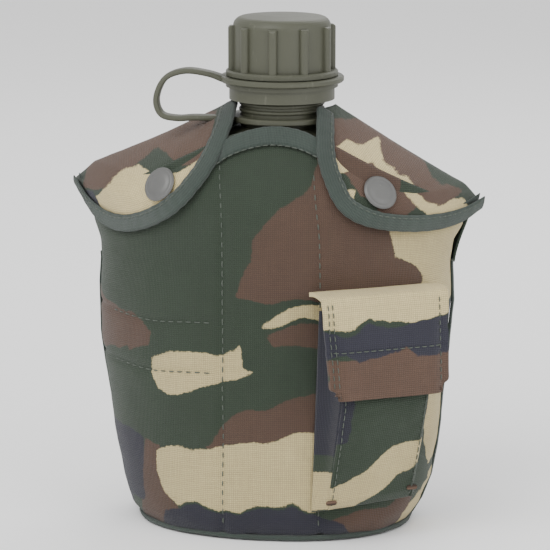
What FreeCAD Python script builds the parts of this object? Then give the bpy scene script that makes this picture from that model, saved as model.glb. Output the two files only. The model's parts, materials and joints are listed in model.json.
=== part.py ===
import FreeCAD
import Part

import math
import os

from FreeCAD import Vector

# A one-quart plastic water canteen in a padded nylon cover, worn on a belt.
# Millimetres. +Z is up, -Y is the front, the origin is the middle of the flat base.

# ---------------------------------------------------------------- driving sizes
# The flask: a blow-moulded bottle, kidney-shaped in plan.
flask_half_width = 65.5
flask_foot_half_width = 50.0
flask_half_depth = 33.0
flask_wall = 2.0
flask_edge_radius = 10.0
belly_height = 92.0
flask_shoulder = 116.0
shoulder_start = 136.0
neck_root = 168.0
bend_rise = 8.0
flask_hollow = 8.0
cover_hollow = 2.5
hollow_spread = 28.0
hollow_end = 150.0

# The neck and its thread.
neck_radius = 16.9
neck_wall = 2.6
neck_step = 0.8
neck_top = 208.5
bead_height = 1.1
bead_round = 0.9
thread_pitch = 4.5
thread_turns = 2.5
thread_depth = 1.3
thread_root_width = 2.0
thread_crest_width = 1.0
thread_clearance = 0.45

# The screw cap.
cap_bottom = 179.2
cap_top = 214.2
cap_top_wall = 2.6
cap_radius = 20.2
cap_edge_round = 4.0
cap_skirt_radius = 21.8
cap_flange_radius = 23.2
cap_groove_radius = 20.9
cap_skirt_height = 5.2
cap_lower_flange = 1.6
cap_groove_height = 3.2
cap_upper_flange = 2.3
rib_count = 10
rib_width = 3.6
rib_depth = 2.1
rib_phase = 86.0
rib_top_margin = 4.5
gasket_thickness = 2.0
gasket_clearance = 0.1

# The retainer: two rings joined by a moulded strap.
ring_thickness = 2.4
ring_width = 4.4
ring_clearance = 0.35
neck_ring_height = 171.5
strap_thickness = 2.2
strap_width = 5.0
strap_plane = -3.5

# The cover: nylon fabric over a pile liner.
fabric = 1.4
liner_gap = 0.3
liner_thickness = 6.0
flask_gap = 0.5
cover_edge_radius = 9.0
base_panel_thickness = 1.6
liner_floor = 2.0
liner_top = 128.0
floor_gap = 0.2
seam_plane = 10.0
seam_tape_width = 5.0
seam_tape_thickness = 0.9
layer_gap = 0.4
binding_width = 7.0
binding_thickness = 0.7
binding_grip = 4.0
arch_top = 168.8
arch_side = 163.8
arch_half_span = 20.0
back_arch_top = 166.0

# The roof that the two flaps make over the shoulders, as seen from the front:
# each ear has a tip, a corner where the straight ridge starts, and a foot.
roof_top = 170.8
roof_half_width = 21.0
roof_half_depth = 22.5
flare_start = 106.0
left_ear_tip = (82.5, 134.5)
left_ridge_end = (76.5, 141.1)
right_ear_tip = (78.2, 126.5)
right_ridge_end = (73.0, 132.7)

# The curved lower edge of each flap, from the neck to the ear, as seen from the front.
left_flap_edge = [(19.0, 182.0), (20.0, 168.0), (24.0, 156.5), (31.5, 145.0), (42.0, 134.0), (54.5, 127.2),
                  (66.0, 124.8), (76.0, 127.0), (94.0, 133.0)]
right_flap_edge = [(19.5, 182.0), (20.0, 158.0), (24.5, 145.0), (30.0, 136.5), (38.5, 130.6), (52.0, 127.0),
                   (65.0, 125.0), (75.0, 124.5), (92.0, 128.0)]
flap_standoff = 2.6
flap_thickness = 1.6
shoulder_inner_x = 25.0
hem_height = 106.0
binding_proud = 0.5
hinge_neck = (26.0, -16.0)
hinge_ear = (70.0, -4.0)
hinge_clearance = 0.8
hinge_slit = 1.2

# Snap fasteners, one on each flap.
left_snap = (47.0, 146.5)
right_snap = (43.0, 144.9)
snap_cap_radius = 7.4
snap_cap_height = 2.0
snap_flange_radius = 5.6
stud_flange_radius = 4.4
snap_plate = 0.4
stud_head_radius = 2.2
stud_height = 1.5
socket_bore = 3.3
socket_height = 1.7
post_radius = 1.3

# The small pocket on the front, at the wearer's left.
pocket_turn = 28.0
pocket_bottom = 12.0
pocket_top = 96.0
pocket_foot_x = 37.0
pocket_mouth_x = 40.0
pocket_base_half_width = 25.5
pocket_foot_base_half_width = 26.0
pocket_face_half_width = 20.5
pocket_foot_face_half_width = 18.5
pocket_mouth_depth = 12.9
pocket_foot_depth = 4.0
pocket_flap_half_width = 26.5
pocket_flap_top = 103.0
pocket_flap_drop = 41.0
pocket_flap_reach = 17.0
pocket_flap_lean = 0.13
pocket_flap_thickness = 1.8
pocket_flap_round = 4.0
pocket_fold = 6.0
pocket_flap_gap = 0.8
tape_thickness = 0.8
tape_width = 16.0
tape_length = 34.0
bar_tack = (6.5, 2.4, 0.7)

# Two belt clips on webbing at the back.
clip_x = 27.0
clip_width = 20.0
clip_steel = 1.3
clip_standoff = 1.0
clip_top = 103.0
belt_gap = 8.6
belt_height = 58.0
slider_height = 24.0
slider_travel = 16.0
slider_clearance = 0.25
webbing_width = 26.0
webbing_thickness = 1.6
webbing_bottom = 18.0
webbing_top = 103.0
webbing_loop_z = (48.0, 76.0)
webbing_loop_height = 14.0

# The drain eyelet in the base.
eyelet_y = 16.0
eyelet_bore = 3.2
eyelet_flange = 6.0
eyelet_plate = 0.5

# ---------------------------------------------------------------- worked-out sizes
pack = flask_gap + liner_thickness + liner_gap + fabric
flask_base = base_panel_thickness + floor_gap + liner_floor + floor_gap
bend = bend_rise / flask_half_width**2
flap_inner = flap_standoff
flap_outer = flap_standoff + flap_thickness
up = Vector(0, 0, 1)
half_steps = 16


# ---------------------------------------------------------------- shape helpers
def mix(a, b, share):
    """a at share 0, b at share 1, and no further either way."""
    share = max(0.0, min(1.0, share))
    return a + (b - a) * share


def box(x0, x1, y0, y1, z0, z1):
    return Part.makeBox(x1 - x0, y1 - y0, z1 - z0, Vector(x0, y0, z0))


def revolve(points):
    """A solid of revolution about Z from a closed outline of (radius, height) points."""
    outline = [Vector(r, 0, z) for r, z in points]
    face = Part.Face(Part.makePolygon(outline + outline[:1]))
    return face.revolve(Vector(0, 0, 0), up, 360)


def tube(inner, outer, z0, z1):
    return revolve([(inner, z0), (outer, z0), (outer, z1), (inner, z1)])


def spline(points):
    curve = Part.BSplineCurve()
    curve.interpolate(points)
    return curve.toShape()


def front_prism(edges, y0, y1):
    """What lies behind a closed outline drawn in the XZ plane, from y0 to y1."""
    face = Part.Face(Part.Wire(Part.__sortEdges__(edges)))
    face.translate(Vector(0, y0, 0))
    return face.extrude(Vector(0, y1 - y0, 0))


def put(shape, origin, axis):
    """Moves a shape made along +Z at the origin so that its axis points along axis."""
    placed = shape.copy()
    placed.Placement = FreeCAD.Placement(origin, FreeCAD.Rotation(up, axis))
    return placed


def closed_section(z, half_left, half_right, half_depth, fullness, ends, back_hollow):
    """A kidney-shaped closed outline at height z, made of a front and a back curve."""
    front, back = [], []
    hollow = mix(back_hollow, 0, (z - hollow_end + 40) / 40)
    for i in range(half_steps + 1):
        c = math.cos(math.pi * i / half_steps)
        x = (half_right if c > 0 else half_left) * c
        y = half_depth * max(0.0, 1 - abs(c) ** fullness) ** ends
        front.append(Vector(x, bend * x * x - y, z))
        inset = hollow * math.exp(-((x / hollow_spread) ** 2)) * (1 - abs(c) ** 4)
        back.append(Vector(x, bend * x * x + y - inset, z))
    return Part.Wire([spline(front), spline(back)])


def edge_inset(z, z0, radius):
    """How far an outline is pulled in at height z by a rounded lower edge."""
    if z - z0 >= radius:
        return 0.0
    return radius - math.sqrt(max(0.0, radius**2 - (radius - (z - z0)) ** 2))


def rounded_heights(z0, radius):
    return [z0 + radius * (1 - math.cos(math.radians(a))) for a in (0, 25, 50, 72, 90)]


# ---------------------------------------------------------------- flask
body_fullness, body_ends = 2.5, 0.4


def body_half_width(z):
    """The flask's half width below the shoulder: narrow at the foot, full at the belly."""
    share = max(0.0, min(1.0, (z - flask_base) / (belly_height - flask_base)))
    return flask_foot_half_width + (flask_half_width - flask_foot_half_width) * math.sin(share * math.pi / 2)


def flask_loft(wall):
    """The flask's body without its neck, smaller by wall all over."""
    z0, z1, radius = flask_base + wall, neck_root - wall, flask_edge_radius - wall
    sections = []
    for z in rounded_heights(z0, radius) + [22, 32, 44, 58, 74, belly_height, 108, flask_shoulder]:
        inset = wall + edge_inset(z, z0, radius)
        w = body_half_width(z) - inset
        depth = flask_half_depth - inset
        sections.append(closed_section(z, w, w, depth, body_fullness, body_ends, flask_hollow))
    full = flask_half_width - wall
    end = neck_radius + neck_step - (neck_wall if wall > 0 else 0)
    for i in range(1, 7):
        share = i / 6
        z = flask_shoulder + (z1 - flask_shoulder) * math.sin(share * math.pi / 2)
        u = (z - flask_shoulder) / (z1 - flask_shoulder)
        fall = (1 - u**1.4) ** 0.8
        w = end + (full - end) * fall
        d = end + (flask_half_depth - wall - end) * fall
        fullness, ends = mix(body_fullness, 2.0, u), mix(body_ends, 0.5, u)
        sections.append(closed_section(z, w, w, d, fullness, ends, flask_hollow))
    return Part.makeLoft(sections, True, True)


def thread_ridge(radius, outward, z0):
    """A helical ridge of trapezium section that stands out of (or into) a round wall."""
    bite = 0.5
    tip = radius + outward * thread_depth
    foot = radius - outward * bite
    profile = Part.makePolygon([
        Vector(foot, 0, -thread_root_width / 2), Vector(tip, 0, -thread_crest_width / 2),
        Vector(tip, 0, thread_crest_width / 2), Vector(foot, 0, thread_root_width / 2),
        Vector(foot, 0, -thread_root_width / 2)])
    helix = Part.makeHelix(thread_pitch, thread_pitch * thread_turns, radius)
    ridge = Part.Wire(helix.Edges).makePipeShell([profile], True, True)
    ridge.translate(Vector(0, 0, z0))
    return ridge


thread_start = neck_top - 2.0 - thread_pitch * thread_turns
cap_bore = neck_radius + thread_depth + thread_clearance


def make_flask():
    outer = flask_loft(0)
    outer = outer.fuse(Part.makeCylinder(neck_radius, neck_top - neck_root + 4, Vector(0, 0, neck_root - 4)))
    for step in (1.0, 3.4):
        z = neck_ring_height + ring_thickness + step * bead_height
        outer = outer.fuse(Part.makeTorus(neck_radius, bead_round, Vector(0, 0, z)))
    outer = outer.fuse(thread_ridge(neck_radius, 1, thread_start))
    inner = flask_loft(flask_wall)
    bore = Part.makeCylinder(neck_radius - neck_wall, neck_top - neck_root + 14, Vector(0, 0, neck_root - 8))
    return outer.cut(inner).cut(bore)


# ---------------------------------------------------------------- cap, gasket, retainer
def make_cap():
    z1 = cap_bottom + cap_skirt_height
    z2 = z1 + cap_lower_flange
    z3 = z2 + cap_groove_height
    z4 = z3 + cap_upper_flange
    r, top = cap_edge_round, cap_top
    soft = 0.7
    outline = [
        (0, cap_bottom), (cap_skirt_radius, cap_bottom), (cap_skirt_radius, z1),
        (cap_flange_radius, z1), (cap_flange_radius, z2), (cap_groove_radius, z2),
        (cap_groove_radius, z3), (cap_flange_radius, z3), (cap_flange_radius, z4 - soft),
        (cap_flange_radius - soft, z4), (cap_radius, z4)]
    outline += [(cap_radius - r + r * math.cos(a), top - 1.0 - r + r * math.sin(a))
                for a in [math.radians(15 * i) for i in range(7)]]
    outline += [(cap_radius * 0.45, top - 0.3), (0, top)]
    body = revolve(outline)
    rib_low, rib_high = z4 - 0.3, cap_top - rib_top_margin
    for i in range(rib_count):
        rib = box(cap_radius - 1.5, cap_radius + rib_depth, -rib_width / 2, rib_width / 2, rib_low, rib_high)
        outer_edges = [e for e in rib.Edges
                       if all(v.Point.x > cap_radius + rib_depth - 0.01 for v in e.Vertexes) and
                       not all(v.Point.z < rib_low + 0.01 for v in e.Vertexes)]
        rib = rib.makeFillet(min(rib_width / 2, rib_depth) * 0.8, outer_edges)
        rib.rotate(Vector(0, 0, 0), up, rib_phase + 360.0 * i / rib_count)
        body = body.fuse(rib)
    inner_top = neck_top + gasket_clearance + gasket_thickness + gasket_clearance
    bore = Part.makeCylinder(cap_bore, inner_top - cap_bottom + 1, Vector(0, 0, cap_bottom - 1))
    ridge = thread_ridge(cap_bore, -1, thread_start - thread_pitch / 2)
    return body.cut(bore).fuse(ridge)


def make_gasket():
    z = neck_top + gasket_clearance
    return tube(4.0, cap_bore - 0.4, z, z + gasket_thickness)


groove_middle = cap_bottom + cap_skirt_height + cap_lower_flange + cap_groove_height / 2


def make_ring(inner, middle):
    low, high = middle - ring_thickness / 2, middle + ring_thickness / 2
    soft = 0.5
    outer = inner + ring_width
    return revolve([(inner, low), (outer - soft, low), (outer, low + soft), (outer, high - soft),
                    (outer - soft, high), (inner, high)])


cap_ring_inner = cap_groove_radius + ring_clearance
neck_ring_inner = neck_radius + ring_clearance


def strap_route():
    """The strap's middle line in its own plane, from the cap ring round to the neck ring."""
    r_cap = -(cap_ring_inner + ring_width + 0.35)
    r_neck = -(neck_ring_inner + ring_width + 0.5)
    over = roof_top + 3.0
    return [(r_cap, groove_middle), (r_cap - 6, groove_middle + 1.6), (-38.5, groove_middle + 3.0),
            (-46.0, groove_middle + 0.6), (-49.6, groove_middle - 6.5), (-47.2, over - 3.6),
            (-41.0, over - 5.0), (-34.0, over - 1.6), (-28.5, over), (-24.4, over - 1.9),
            (r_neck, neck_ring_height)]


def make_strap():
    middle = Part.BSplineCurve()
    middle.interpolate([Vector(x, strap_plane - strap_width / 2, z) for x, z in strap_route()])
    one, other = [], []
    count = 24
    for i in range(count + 1):
        u = middle.FirstParameter + (middle.LastParameter - middle.FirstParameter) * i / count
        t = middle.tangent(u)[0]
        normal = Vector(-t.z, 0, t.x) * (strap_thickness / 2)
        one.append(middle.value(u) + normal)
        other.append(middle.value(u) - normal)
    a, b = spline(one), spline(other)
    ends = [Part.makeLine(one[0], other[0]), Part.makeLine(one[-1], other[-1])]
    face = Part.Face(Part.Wire(Part.__sortEdges__([a, b] + ends)))
    return face.extrude(Vector(0, strap_width, 0))


# ---------------------------------------------------------------- cover body and roof
def slope_of(ridge_end):
    return math.atan2(roof_top - ridge_end[1], ridge_end[0] - roof_half_width)


def side_half_width(z, tip, ridge_end, offset):
    """The cover's half width on one side at height z: body, flare, ear and roof ridge."""
    body = body_half_width(z) + pack
    if z <= flare_start:
        return body + offset
    if z <= tip[1]:
        return mix(body, tip[0], ((z - flare_start) / (tip[1] - flare_start)) ** 1.6) + offset
    steep = 1 / math.sin(slope_of(ridge_end))
    if z <= ridge_end[1]:
        share = (z - tip[1]) / (ridge_end[1] - tip[1])
        return mix(tip[0], ridge_end[0], share) + offset * mix(1, steep, share)
    share = (z - ridge_end[1]) / (roof_top - ridge_end[1])
    return mix(ridge_end[0], roof_half_width, share) + offset * steep


def cover_measures(z, offset):
    """Left and right half widths, half depth and the two outline exponents at height z."""
    z0, radius = -offset, max(1.0, cover_edge_radius + offset)
    inset = edge_inset(z, z0, radius)
    left = side_half_width(z, left_ear_tip, left_ridge_end, offset) - inset
    right = side_half_width(z, right_ear_tip, right_ridge_end, offset) - inset
    rise = max(0.0, (z - shoulder_start) / (roof_top - shoulder_start))
    depth = flask_half_depth + pack + offset - inset
    depth -= (flask_half_depth + pack - roof_half_depth) * rise**1.5
    flare = (z - flare_start) / (134.0 - flare_start)
    fullness = mix(mix(body_fullness, 2.1, flare), 2.0, rise)
    ends = mix(mix(body_ends, 0.85, flare), 0.6, (z - 160.0) / (roof_top - 160.0))
    return left, right, depth, fullness, ends


def cover_loft(offset):
    """The solid inside the cover's outer surface moved outwards by offset, open to nothing."""
    z0, radius = -offset, max(1.0, cover_edge_radius + offset)
    heights = rounded_heights(z0, radius)
    heights += [z for z in (20, 32, 45, 60, 76, belly_height)]
    heights += sorted([99, flare_start, 111, 116, 121, right_ear_tip[1], 129.5, right_ridge_end[1],
                       left_ear_tip[1], 138, left_ridge_end[1], 146, 152, 158, 164, roof_top])
    sections = [closed_section(z, *cover_measures(z, offset), cover_hollow) for z in heights]
    return Part.makeLoft(sections, True, True)


def layer(inner, outer):
    return cover_loft(outer).cut(cover_loft(inner))


def front_depth(x, z, offset):
    """Where the cover's front surface, moved outwards by offset, lies at x and z."""
    left, right, depth, fullness, ends = cover_measures(z, offset)
    share = min(1.0, abs(x) / (right if x > 0 else left))
    return bend * x * x - depth * (1 - share**fullness) ** ends


def front_height(x, y, offset):
    """The height at which the cover's front surface passes over x and y."""
    low, high = flare_start, roof_top
    for _ in range(40):
        middle = (low + high) / 2
        left, right = cover_measures(middle, offset)[:2]
        inside = abs(x) < (right if x > 0 else left) and front_depth(x, middle, offset) < y
        low, high = (middle, high) if inside else (low, middle)
    return low


def top_edge(side_points, arch, y0, y1):
    """The part of the cover that is kept below its top edge, seen from the front."""
    (left, right), top = side_points, arch
    span = arch_half_span
    arc = Part.Arc(Vector(-span, 0, arch_side), Vector(0, 0, top), Vector(span, 0, arch_side))
    corners = [(arch_half_span, arch_side), (right[0], right[1]), (120, right[1] - 4), (120, -5), (-120, -5),
               (-120, left[1] - 4), (-left[0], left[1]), (-arch_half_span, arch_side)]
    corners = [Vector(x, 0, z) for x, z in corners]
    lines = [Part.makeLine(a, b) for a, b in zip(corners, corners[1:])]
    return front_prism([arc.toShape()] + lines, y0, y1)


def ear_corners(drop):
    return ((left_ridge_end[0], left_ridge_end[1] - drop), (right_ridge_end[0], right_ridge_end[1] - drop))


far = 120.0


def flap_outline(edge, side, inset, top):
    """The closed outline of a flap seen from the front, pulled in from its curved edge by inset."""
    curve = Part.BSplineCurve()
    curve.interpolate([Vector(side * x, 0, z) for x, z in edge])
    points = []
    for i in range(13):
        u = curve.FirstParameter + (curve.LastParameter - curve.FirstParameter) * i / 12
        t = curve.tangent(u)[0]
        points.append(curve.value(u) + Vector(-t.z, 0, t.x) * (inset * side))
    first, last = points[0], points[-1]
    above = [first, Vector(first.x, 0, top), Vector(last.x, 0, top), last]
    lines = [Part.makeLine(a, b) for a, b in zip(above, above[1:])]
    return front_prism([spline(points)] + lines, -far, far)


def hinge_line(side):
    """The fold that a flap swings on: two points just above the roof, neck end first."""
    ends = [Vector(side * x, y, front_height(side * x, y, flap_outer)) for x, y in (hinge_neck, hinge_ear)]
    lift = 0.0
    for i in range(1, 10):
        p = ends[0] + (ends[1] - ends[0]) * (i / 10)
        lift = max(lift, front_height(p.x, p.y, flap_outer) - p.z)
    return [p + Vector(0, 0, lift + hinge_clearance) for p in ends]


def hinge_axis(side):
    """The fold's direction, chosen so that a positive turn lifts the flap."""
    neck, ear = hinge_line(side)
    axis = neck - ear if side > 0 else ear - neck
    axis.normalize()
    return axis


def flap_side_of_fold(side, shift):
    """A large block in front of the plane through the fold, moved forwards by shift."""
    neck, ear = hinge_line(side)
    along = ear - neck
    along.normalize()
    level = Vector(-along.y, along.x, 0) if side < 0 else Vector(along.y, -along.x, 0)
    if level.y > 0:
        level = level * -1
    level.normalize()
    upward = along.cross(level)
    if upward.z < 0:
        upward = upward * -1
    forward = level * math.cos(math.radians(35)) - upward * math.sin(math.radians(35))
    block = Part.makeBox(4 * far, 4 * far, 2 * far, Vector(-2 * far, -2 * far, 0))
    return put(block, (neck + ear) * 0.5 + forward * shift, forward)


def snap_place(side):
    x, z = left_snap if side < 0 else right_snap
    return Vector(side * x, front_depth(side * x, z, flap_outer), z)


def snap_axis(side):
    """Straight out of the flap's surface where the snap sits."""
    x, z = left_snap if side < 0 else right_snap
    step = 4.0
    right, left = [front_depth(side * x + s, z, flap_outer) for s in (step, -step)]
    above, below = [front_depth(side * x, z + s, flap_outer) for s in (step, -step)]
    across, rise = (right - left) / (2 * step), (above - below) / (2 * step)
    out = Vector(across, -1, rise)
    out.normalize()
    return out


def make_snap(side):
    """Cap and socket on the flap, stud and post on the front panel, along one axis."""
    outer, axis = snap_place(side), snap_axis(side)
    skin = flap_thickness + 0.2
    dome = [(0, 0), (snap_cap_radius, 0), (snap_cap_radius, 0.6), (snap_cap_radius - 0.5, 1.1)]
    dome += [(snap_cap_radius * 0.6, snap_cap_height * 0.85), (0, snap_cap_height)]
    cap = revolve(dome).fuse(Part.makeCylinder(post_radius, skin + 0.4, Vector(0, 0, -skin - 0.4)))
    socket = tube(socket_bore, snap_flange_radius, -skin - socket_height, -skin - 0.1)
    stud_foot = -skin - socket_height - 0.25
    stud = Part.makeCylinder(stud_flange_radius, snap_plate + 1.0, Vector(0, 0, stud_foot - snap_plate - 1.0))
    stud = stud.fuse(Part.makeCylinder(stud_head_radius, stud_height, Vector(0, 0, stud_foot)))
    post_foot = stud_foot - snap_plate - 2.4
    post = Part.makeCylinder(snap_flange_radius, snap_plate, Vector(0, 0, post_foot))
    return [put(s, outer + axis * lift, axis) for s, lift in ((cap, 0.15), (socket, 0), (stud, 0), (post, 0))]


parts = {}


def make_cover():
    """The body of the cover: front, back and base panels, their bindings and the pile liner."""
    shell = layer(-fabric, 0)
    middle = layer(-fabric * 0.68, -fabric * 0.32)
    base_top = base_panel_thickness
    eyelet_hole = Part.makeCylinder(eyelet_bore + 0.1, 20, Vector(0, eyelet_y, -5))
    parts["cover_base_panel"] = shell.common(box(-far, far, -far, far, -5, base_top)).cut(eyelet_hole)
    for name, y0, y1, arch, drop in (("front", -far, seam_plane, arch_top, 3.0),
                                     ("back", seam_plane, far, back_arch_top, 3.0)):
        half = box(-far, far, y0, y1, base_top, 2 * far)
        keep = top_edge(ear_corners(drop), arch, -far, far)
        below_binding = top_edge(ear_corners(drop + binding_width), arch - binding_width, -far, far)
        bared = binding_width - binding_grip
        tongue_keep = top_edge(ear_corners(drop + bared), arch - bared, -far, far)
        whole = shell.common(half).common(keep)
        tongue = middle.common(half).common(tongue_keep)
        panel = whole.common(below_binding).fuse(tongue)
        parts["cover_%s_panel" % name] = panel
        parts["%s_edge_binding" % name] = whole.cut(below_binding).cut(tongue)
    tape = layer(0.02, seam_tape_thickness)
    z1 = hem_height - 1.0
    for name, x0, x1 in (("left", -far, 0), ("right", 0, far)):
        strip = box(x0, x1, seam_plane - seam_tape_width / 2, seam_plane + seam_tape_width / 2, 4.0, z1)
        parts["%s_seam_tape" % name] = tape.common(strip)
    recess = Part.makeCylinder(eyelet_flange + 0.3, eyelet_plate + 0.3, Vector(0, eyelet_y, base_top))
    for name, y0, y1 in (("front", -far, seam_plane), ("back", seam_plane, far)):
        pile = cover_loft(-fabric - liner_gap).common(box(-far, far, y0, y1, base_top + floor_gap, liner_top))
        parts["%s_pile_liner" % name] = pile.cut(flask_loft(-flask_gap)).cut(eyelet_hole).cut(recess)
    flange = tube(eyelet_bore - 0.8, eyelet_flange, base_top + 0.02, base_top + eyelet_plate)
    barrel = tube(eyelet_bore - 0.8, eyelet_bore, 0.1, base_top + eyelet_plate)
    parts["cover_drain_eyelet"] = flange.fuse(barrel)
    parts["cover_drain_eyelet"].translate(Vector(0, eyelet_y, 0))


def make_flap(side, edge):
    """One shoulder and its flap: nylon over the top of the cover, bound along the curved edge."""
    name = "left" if side < 0 else "right"
    roof = layer(flap_inner, flap_outer)
    tape = layer(flap_inner, flap_outer + binding_proud)
    hem = layer(0.02, flap_outer)
    tongue = layer(flap_inner + flap_thickness / 3, flap_outer - flap_thickness / 3)
    whole = flap_outline(edge, side, 0, 2 * far)
    cloth = flap_outline(edge, side, binding_width, 2 * far)
    gripped = flap_outline(edge, side, binding_width - binding_grip, 2 * far)
    front_of_fold = flap_side_of_fold(side, hinge_slit / 2)
    behind_fold = flap_side_of_fold(side, -hinge_slit / 2)
    x0, x1 = (-far, -shoulder_inner_x) if side < 0 else (shoulder_inner_x, far)
    back_part = box(x0, x1, seam_plane, far, hem_height, 2 * far)
    front_part = box(x0, x1, -far, seam_plane, hem_height, 2 * far)
    post, axis = snap_place(side), snap_axis(side)
    hole = put(Part.makeCylinder(post_radius + 0.05, 20, Vector(0, 0, -10)), post, axis)
    flap = roof.common(cloth).common(front_of_fold)
    flap = flap.fuse(tongue.common(gripped).common(front_of_fold))
    bound = tape.common(whole).cut(cloth).cut(tongue.common(gripped)).common(front_of_fold)
    shoulder = roof.common(back_part).fuse(roof.common(front_part).common(whole)).cut(behind_fold)
    shoulder = shoulder.fuse(hem.common(box(x0, x1, seam_plane + 2, far, hem_height, hem_height + 6)))
    parts["%s_shoulder" % name] = shoulder
    parts["%s_flap" % name] = flap.cut(hole)
    parts["%s_flap_binding" % name] = bound


def make_snaps(side):
    """The four pieces of a snap fastener, and the holes they need."""
    name = "left" if side < 0 else "right"
    cap, socket, stud, post = make_snap(side)
    parts["%s_snap_cap" % name] = cap
    parts["%s_snap_socket" % name] = socket.common(cover_loft(flap_inner - 0.05))
    parts["%s_snap_stud" % name] = stud.cut(cover_loft(0.02))
    parts["%s_snap_post" % name] = post.common(cover_loft(-fabric - 0.05))
    origin, axis = snap_place(side), snap_axis(side)
    hole = put(Part.makeCylinder(post_radius + 0.05, 30, Vector(0, 0, -20)), origin, axis)
    well = Part.makeCylinder(snap_flange_radius + 0.4, 6.0, Vector(0, 0, -flap_outer - fabric - 4.6))
    well = put(well, origin, axis)
    parts["cover_front_panel"] = parts["cover_front_panel"].cut(hole)
    parts["front_pile_liner"] = parts["front_pile_liner"].cut(well.common(cover_loft(-fabric - 0.1)))


# ---------------------------------------------------------------- pocket
def pocket_placement():
    """The pocket's own frame: x along its width, -y outwards from the cover, z up."""
    origin = Vector(pocket_mouth_x, front_depth(pocket_mouth_x, 60.0, 0), 0)
    return FreeCAD.Placement(origin, FreeCAD.Rotation(up, pocket_turn))


def pocket_loft(t, face_cut, floor):
    """The pocket's solid, smaller by t at the sides, by face_cut at the face and by floor below."""
    sections = []
    bottom = pocket_bottom + floor
    for z in (bottom, pocket_bottom + 18.0, pocket_flap_top - pocket_flap_drop, pocket_top):
        share = (z - pocket_bottom) / (pocket_top - pocket_bottom)
        shift = mix(pocket_foot_x - pocket_mouth_x, 0, share)
        wide = mix(pocket_foot_base_half_width, pocket_base_half_width, share) - t
        face = mix(pocket_foot_face_half_width, pocket_face_half_width, share) - t
        d = pocket_depth(z) - face_cut
        corners = [(shift - wide, 14.0), (shift - wide, -0.5), (shift - face, -d), (shift + face, -d),
                   (shift + wide, -0.5), (shift + wide, 14.0)]
        outline = [Vector(x, y, z) for x, y in corners]
        sections.append(Part.makePolygon(outline + outline[:1]))
    return Part.makeLoft(sections, True, True)


def pocket_depth(z):
    low = pocket_flap_top - pocket_flap_drop
    if z <= low:
        return mix(pocket_foot_depth, pocket_mouth_depth, (z - pocket_bottom) / (low - pocket_bottom))
    return pocket_mouth_depth - pocket_flap_lean * (z - low)


def flap_strip(half_width, outside, thickness, z_low, z_high):
    """A flat strip parallel to the pocket flap, its outer face outside mm in from the flap's outer face."""
    low, high = pocket_flap_top - pocket_flap_drop, pocket_flap_top
    def at(z):
        return pocket_flap_reach - pocket_flap_lean * (z - low) - outside
    points = [(-at(z_low), z_low), (-at(z_high), z_high), (-at(z_high) + thickness, z_high),
              (-at(z_low) + thickness, z_low)]
    outline = [Vector(-half_width, y, z) for y, z in points]
    face = Part.Face(Part.makePolygon(outline + outline[:1]))
    return face.extrude(Vector(2 * half_width, 0, 0))


def make_pocket():
    t = fabric
    clear = cover_loft(0.05)
    place = pocket_placement()

    def placed(shape):
        shape = shape.copy()
        shape.Placement = place.multiply(shape.Placement)
        return shape

    outer = pocket_loft(0, 0, 0)
    inner = pocket_loft(t, t, t)
    lid = box(-far, far, -far, far, pocket_top - 0.1, 2 * far)
    mouth = inner.common(box(-far, far, -far, far, pocket_top - 5, pocket_top))
    inner = inner.fuse(mouth.translated(Vector(0, 0, 1)))
    shell = outer.cut(inner).cut(lid)
    behind_face = pocket_loft(-30, t, -20)
    front = placed(shell.cut(behind_face)).cut(clear)
    gusset = placed(shell.common(behind_face)).cut(clear)
    parts["pocket_front"] = front
    parts["pocket_gusset"] = gusset
    low, high = pocket_flap_top - pocket_flap_drop, pocket_flap_top
    plate = flap_strip(pocket_flap_half_width, 0, pocket_flap_thickness, low, high)
    corners = [e for e in plate.Edges
               if e.Length < pocket_flap_thickness * 1.2 and e.Vertexes[0].Point.z < low + 1]
    plate = plate.makeFillet(pocket_flap_round, corners)
    top_y = -(pocket_flap_reach - pocket_flap_lean * pocket_flap_drop)
    shelf = box(-pocket_flap_half_width, pocket_flap_half_width, top_y, -pocket_flap_gap,
                high - pocket_flap_thickness, high)
    flap = placed(plate.fuse(shelf)).cut(cover_loft(0.6))
    parts["pocket_flap"] = max(flap.Solids, key=lambda body: body.Volume)
    tape_low = low + 4.0
    tape_high = tape_low + tape_width
    hook_face = pocket_flap_thickness + 0.02
    hook = flap_strip(tape_length / 2, hook_face, tape_thickness, tape_low, tape_high)
    loop = flap_strip(tape_length / 2, hook_face + tape_thickness + 0.1, tape_thickness, tape_low, tape_high)
    parts["pocket_hook_tape"] = placed(hook)
    parts["pocket_loop_tape"] = placed(loop)
    tacks = []
    length, height, reach = bar_tack
    for edge in (-1, 1):
        x = pocket_foot_x - pocket_mouth_x + edge * (pocket_foot_face_half_width - length / 2)
        z = pocket_bottom + 4.0
        face = -pocket_depth(z)
        tack = box(x - length / 2, x + length / 2, face - reach, face + 1, z - height / 2, z + height / 2)
        tacks.append(placed(tack))
    solid_front = placed(outer)
    parts["pocket_bar_tacks"] = Part.makeCompound([tack.cut(solid_front) for tack in tacks])


def pocket_hinge():
    """A point on the line that the pocket flap turns on, along the middle of its top strip."""
    return pocket_placement().multVec(Vector(0, -pocket_fold, pocket_flap_top + 1.0))


# ---------------------------------------------------------------- belt clips
def back_placement(side):
    """A clip's own frame on the back: x along the back, +y outwards, z up."""
    def back_y(x):
        left, right, depth, fullness, ends = cover_measures(100.0, 0)
        inset = cover_hollow * math.exp(-((x / hollow_spread) ** 2)) * (1 - (x / left) ** 4)
        return bend * x * x + depth * (1 - (x / left) ** fullness) ** ends - inset
    slope = math.atan2(back_y(clip_x + 5) - back_y(clip_x - 5), 10.0)
    angle = math.degrees(slope) * side
    return FreeCAD.Placement(Vector(side * clip_x, back_y(clip_x), 0), FreeCAD.Rotation(up, angle))


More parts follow.
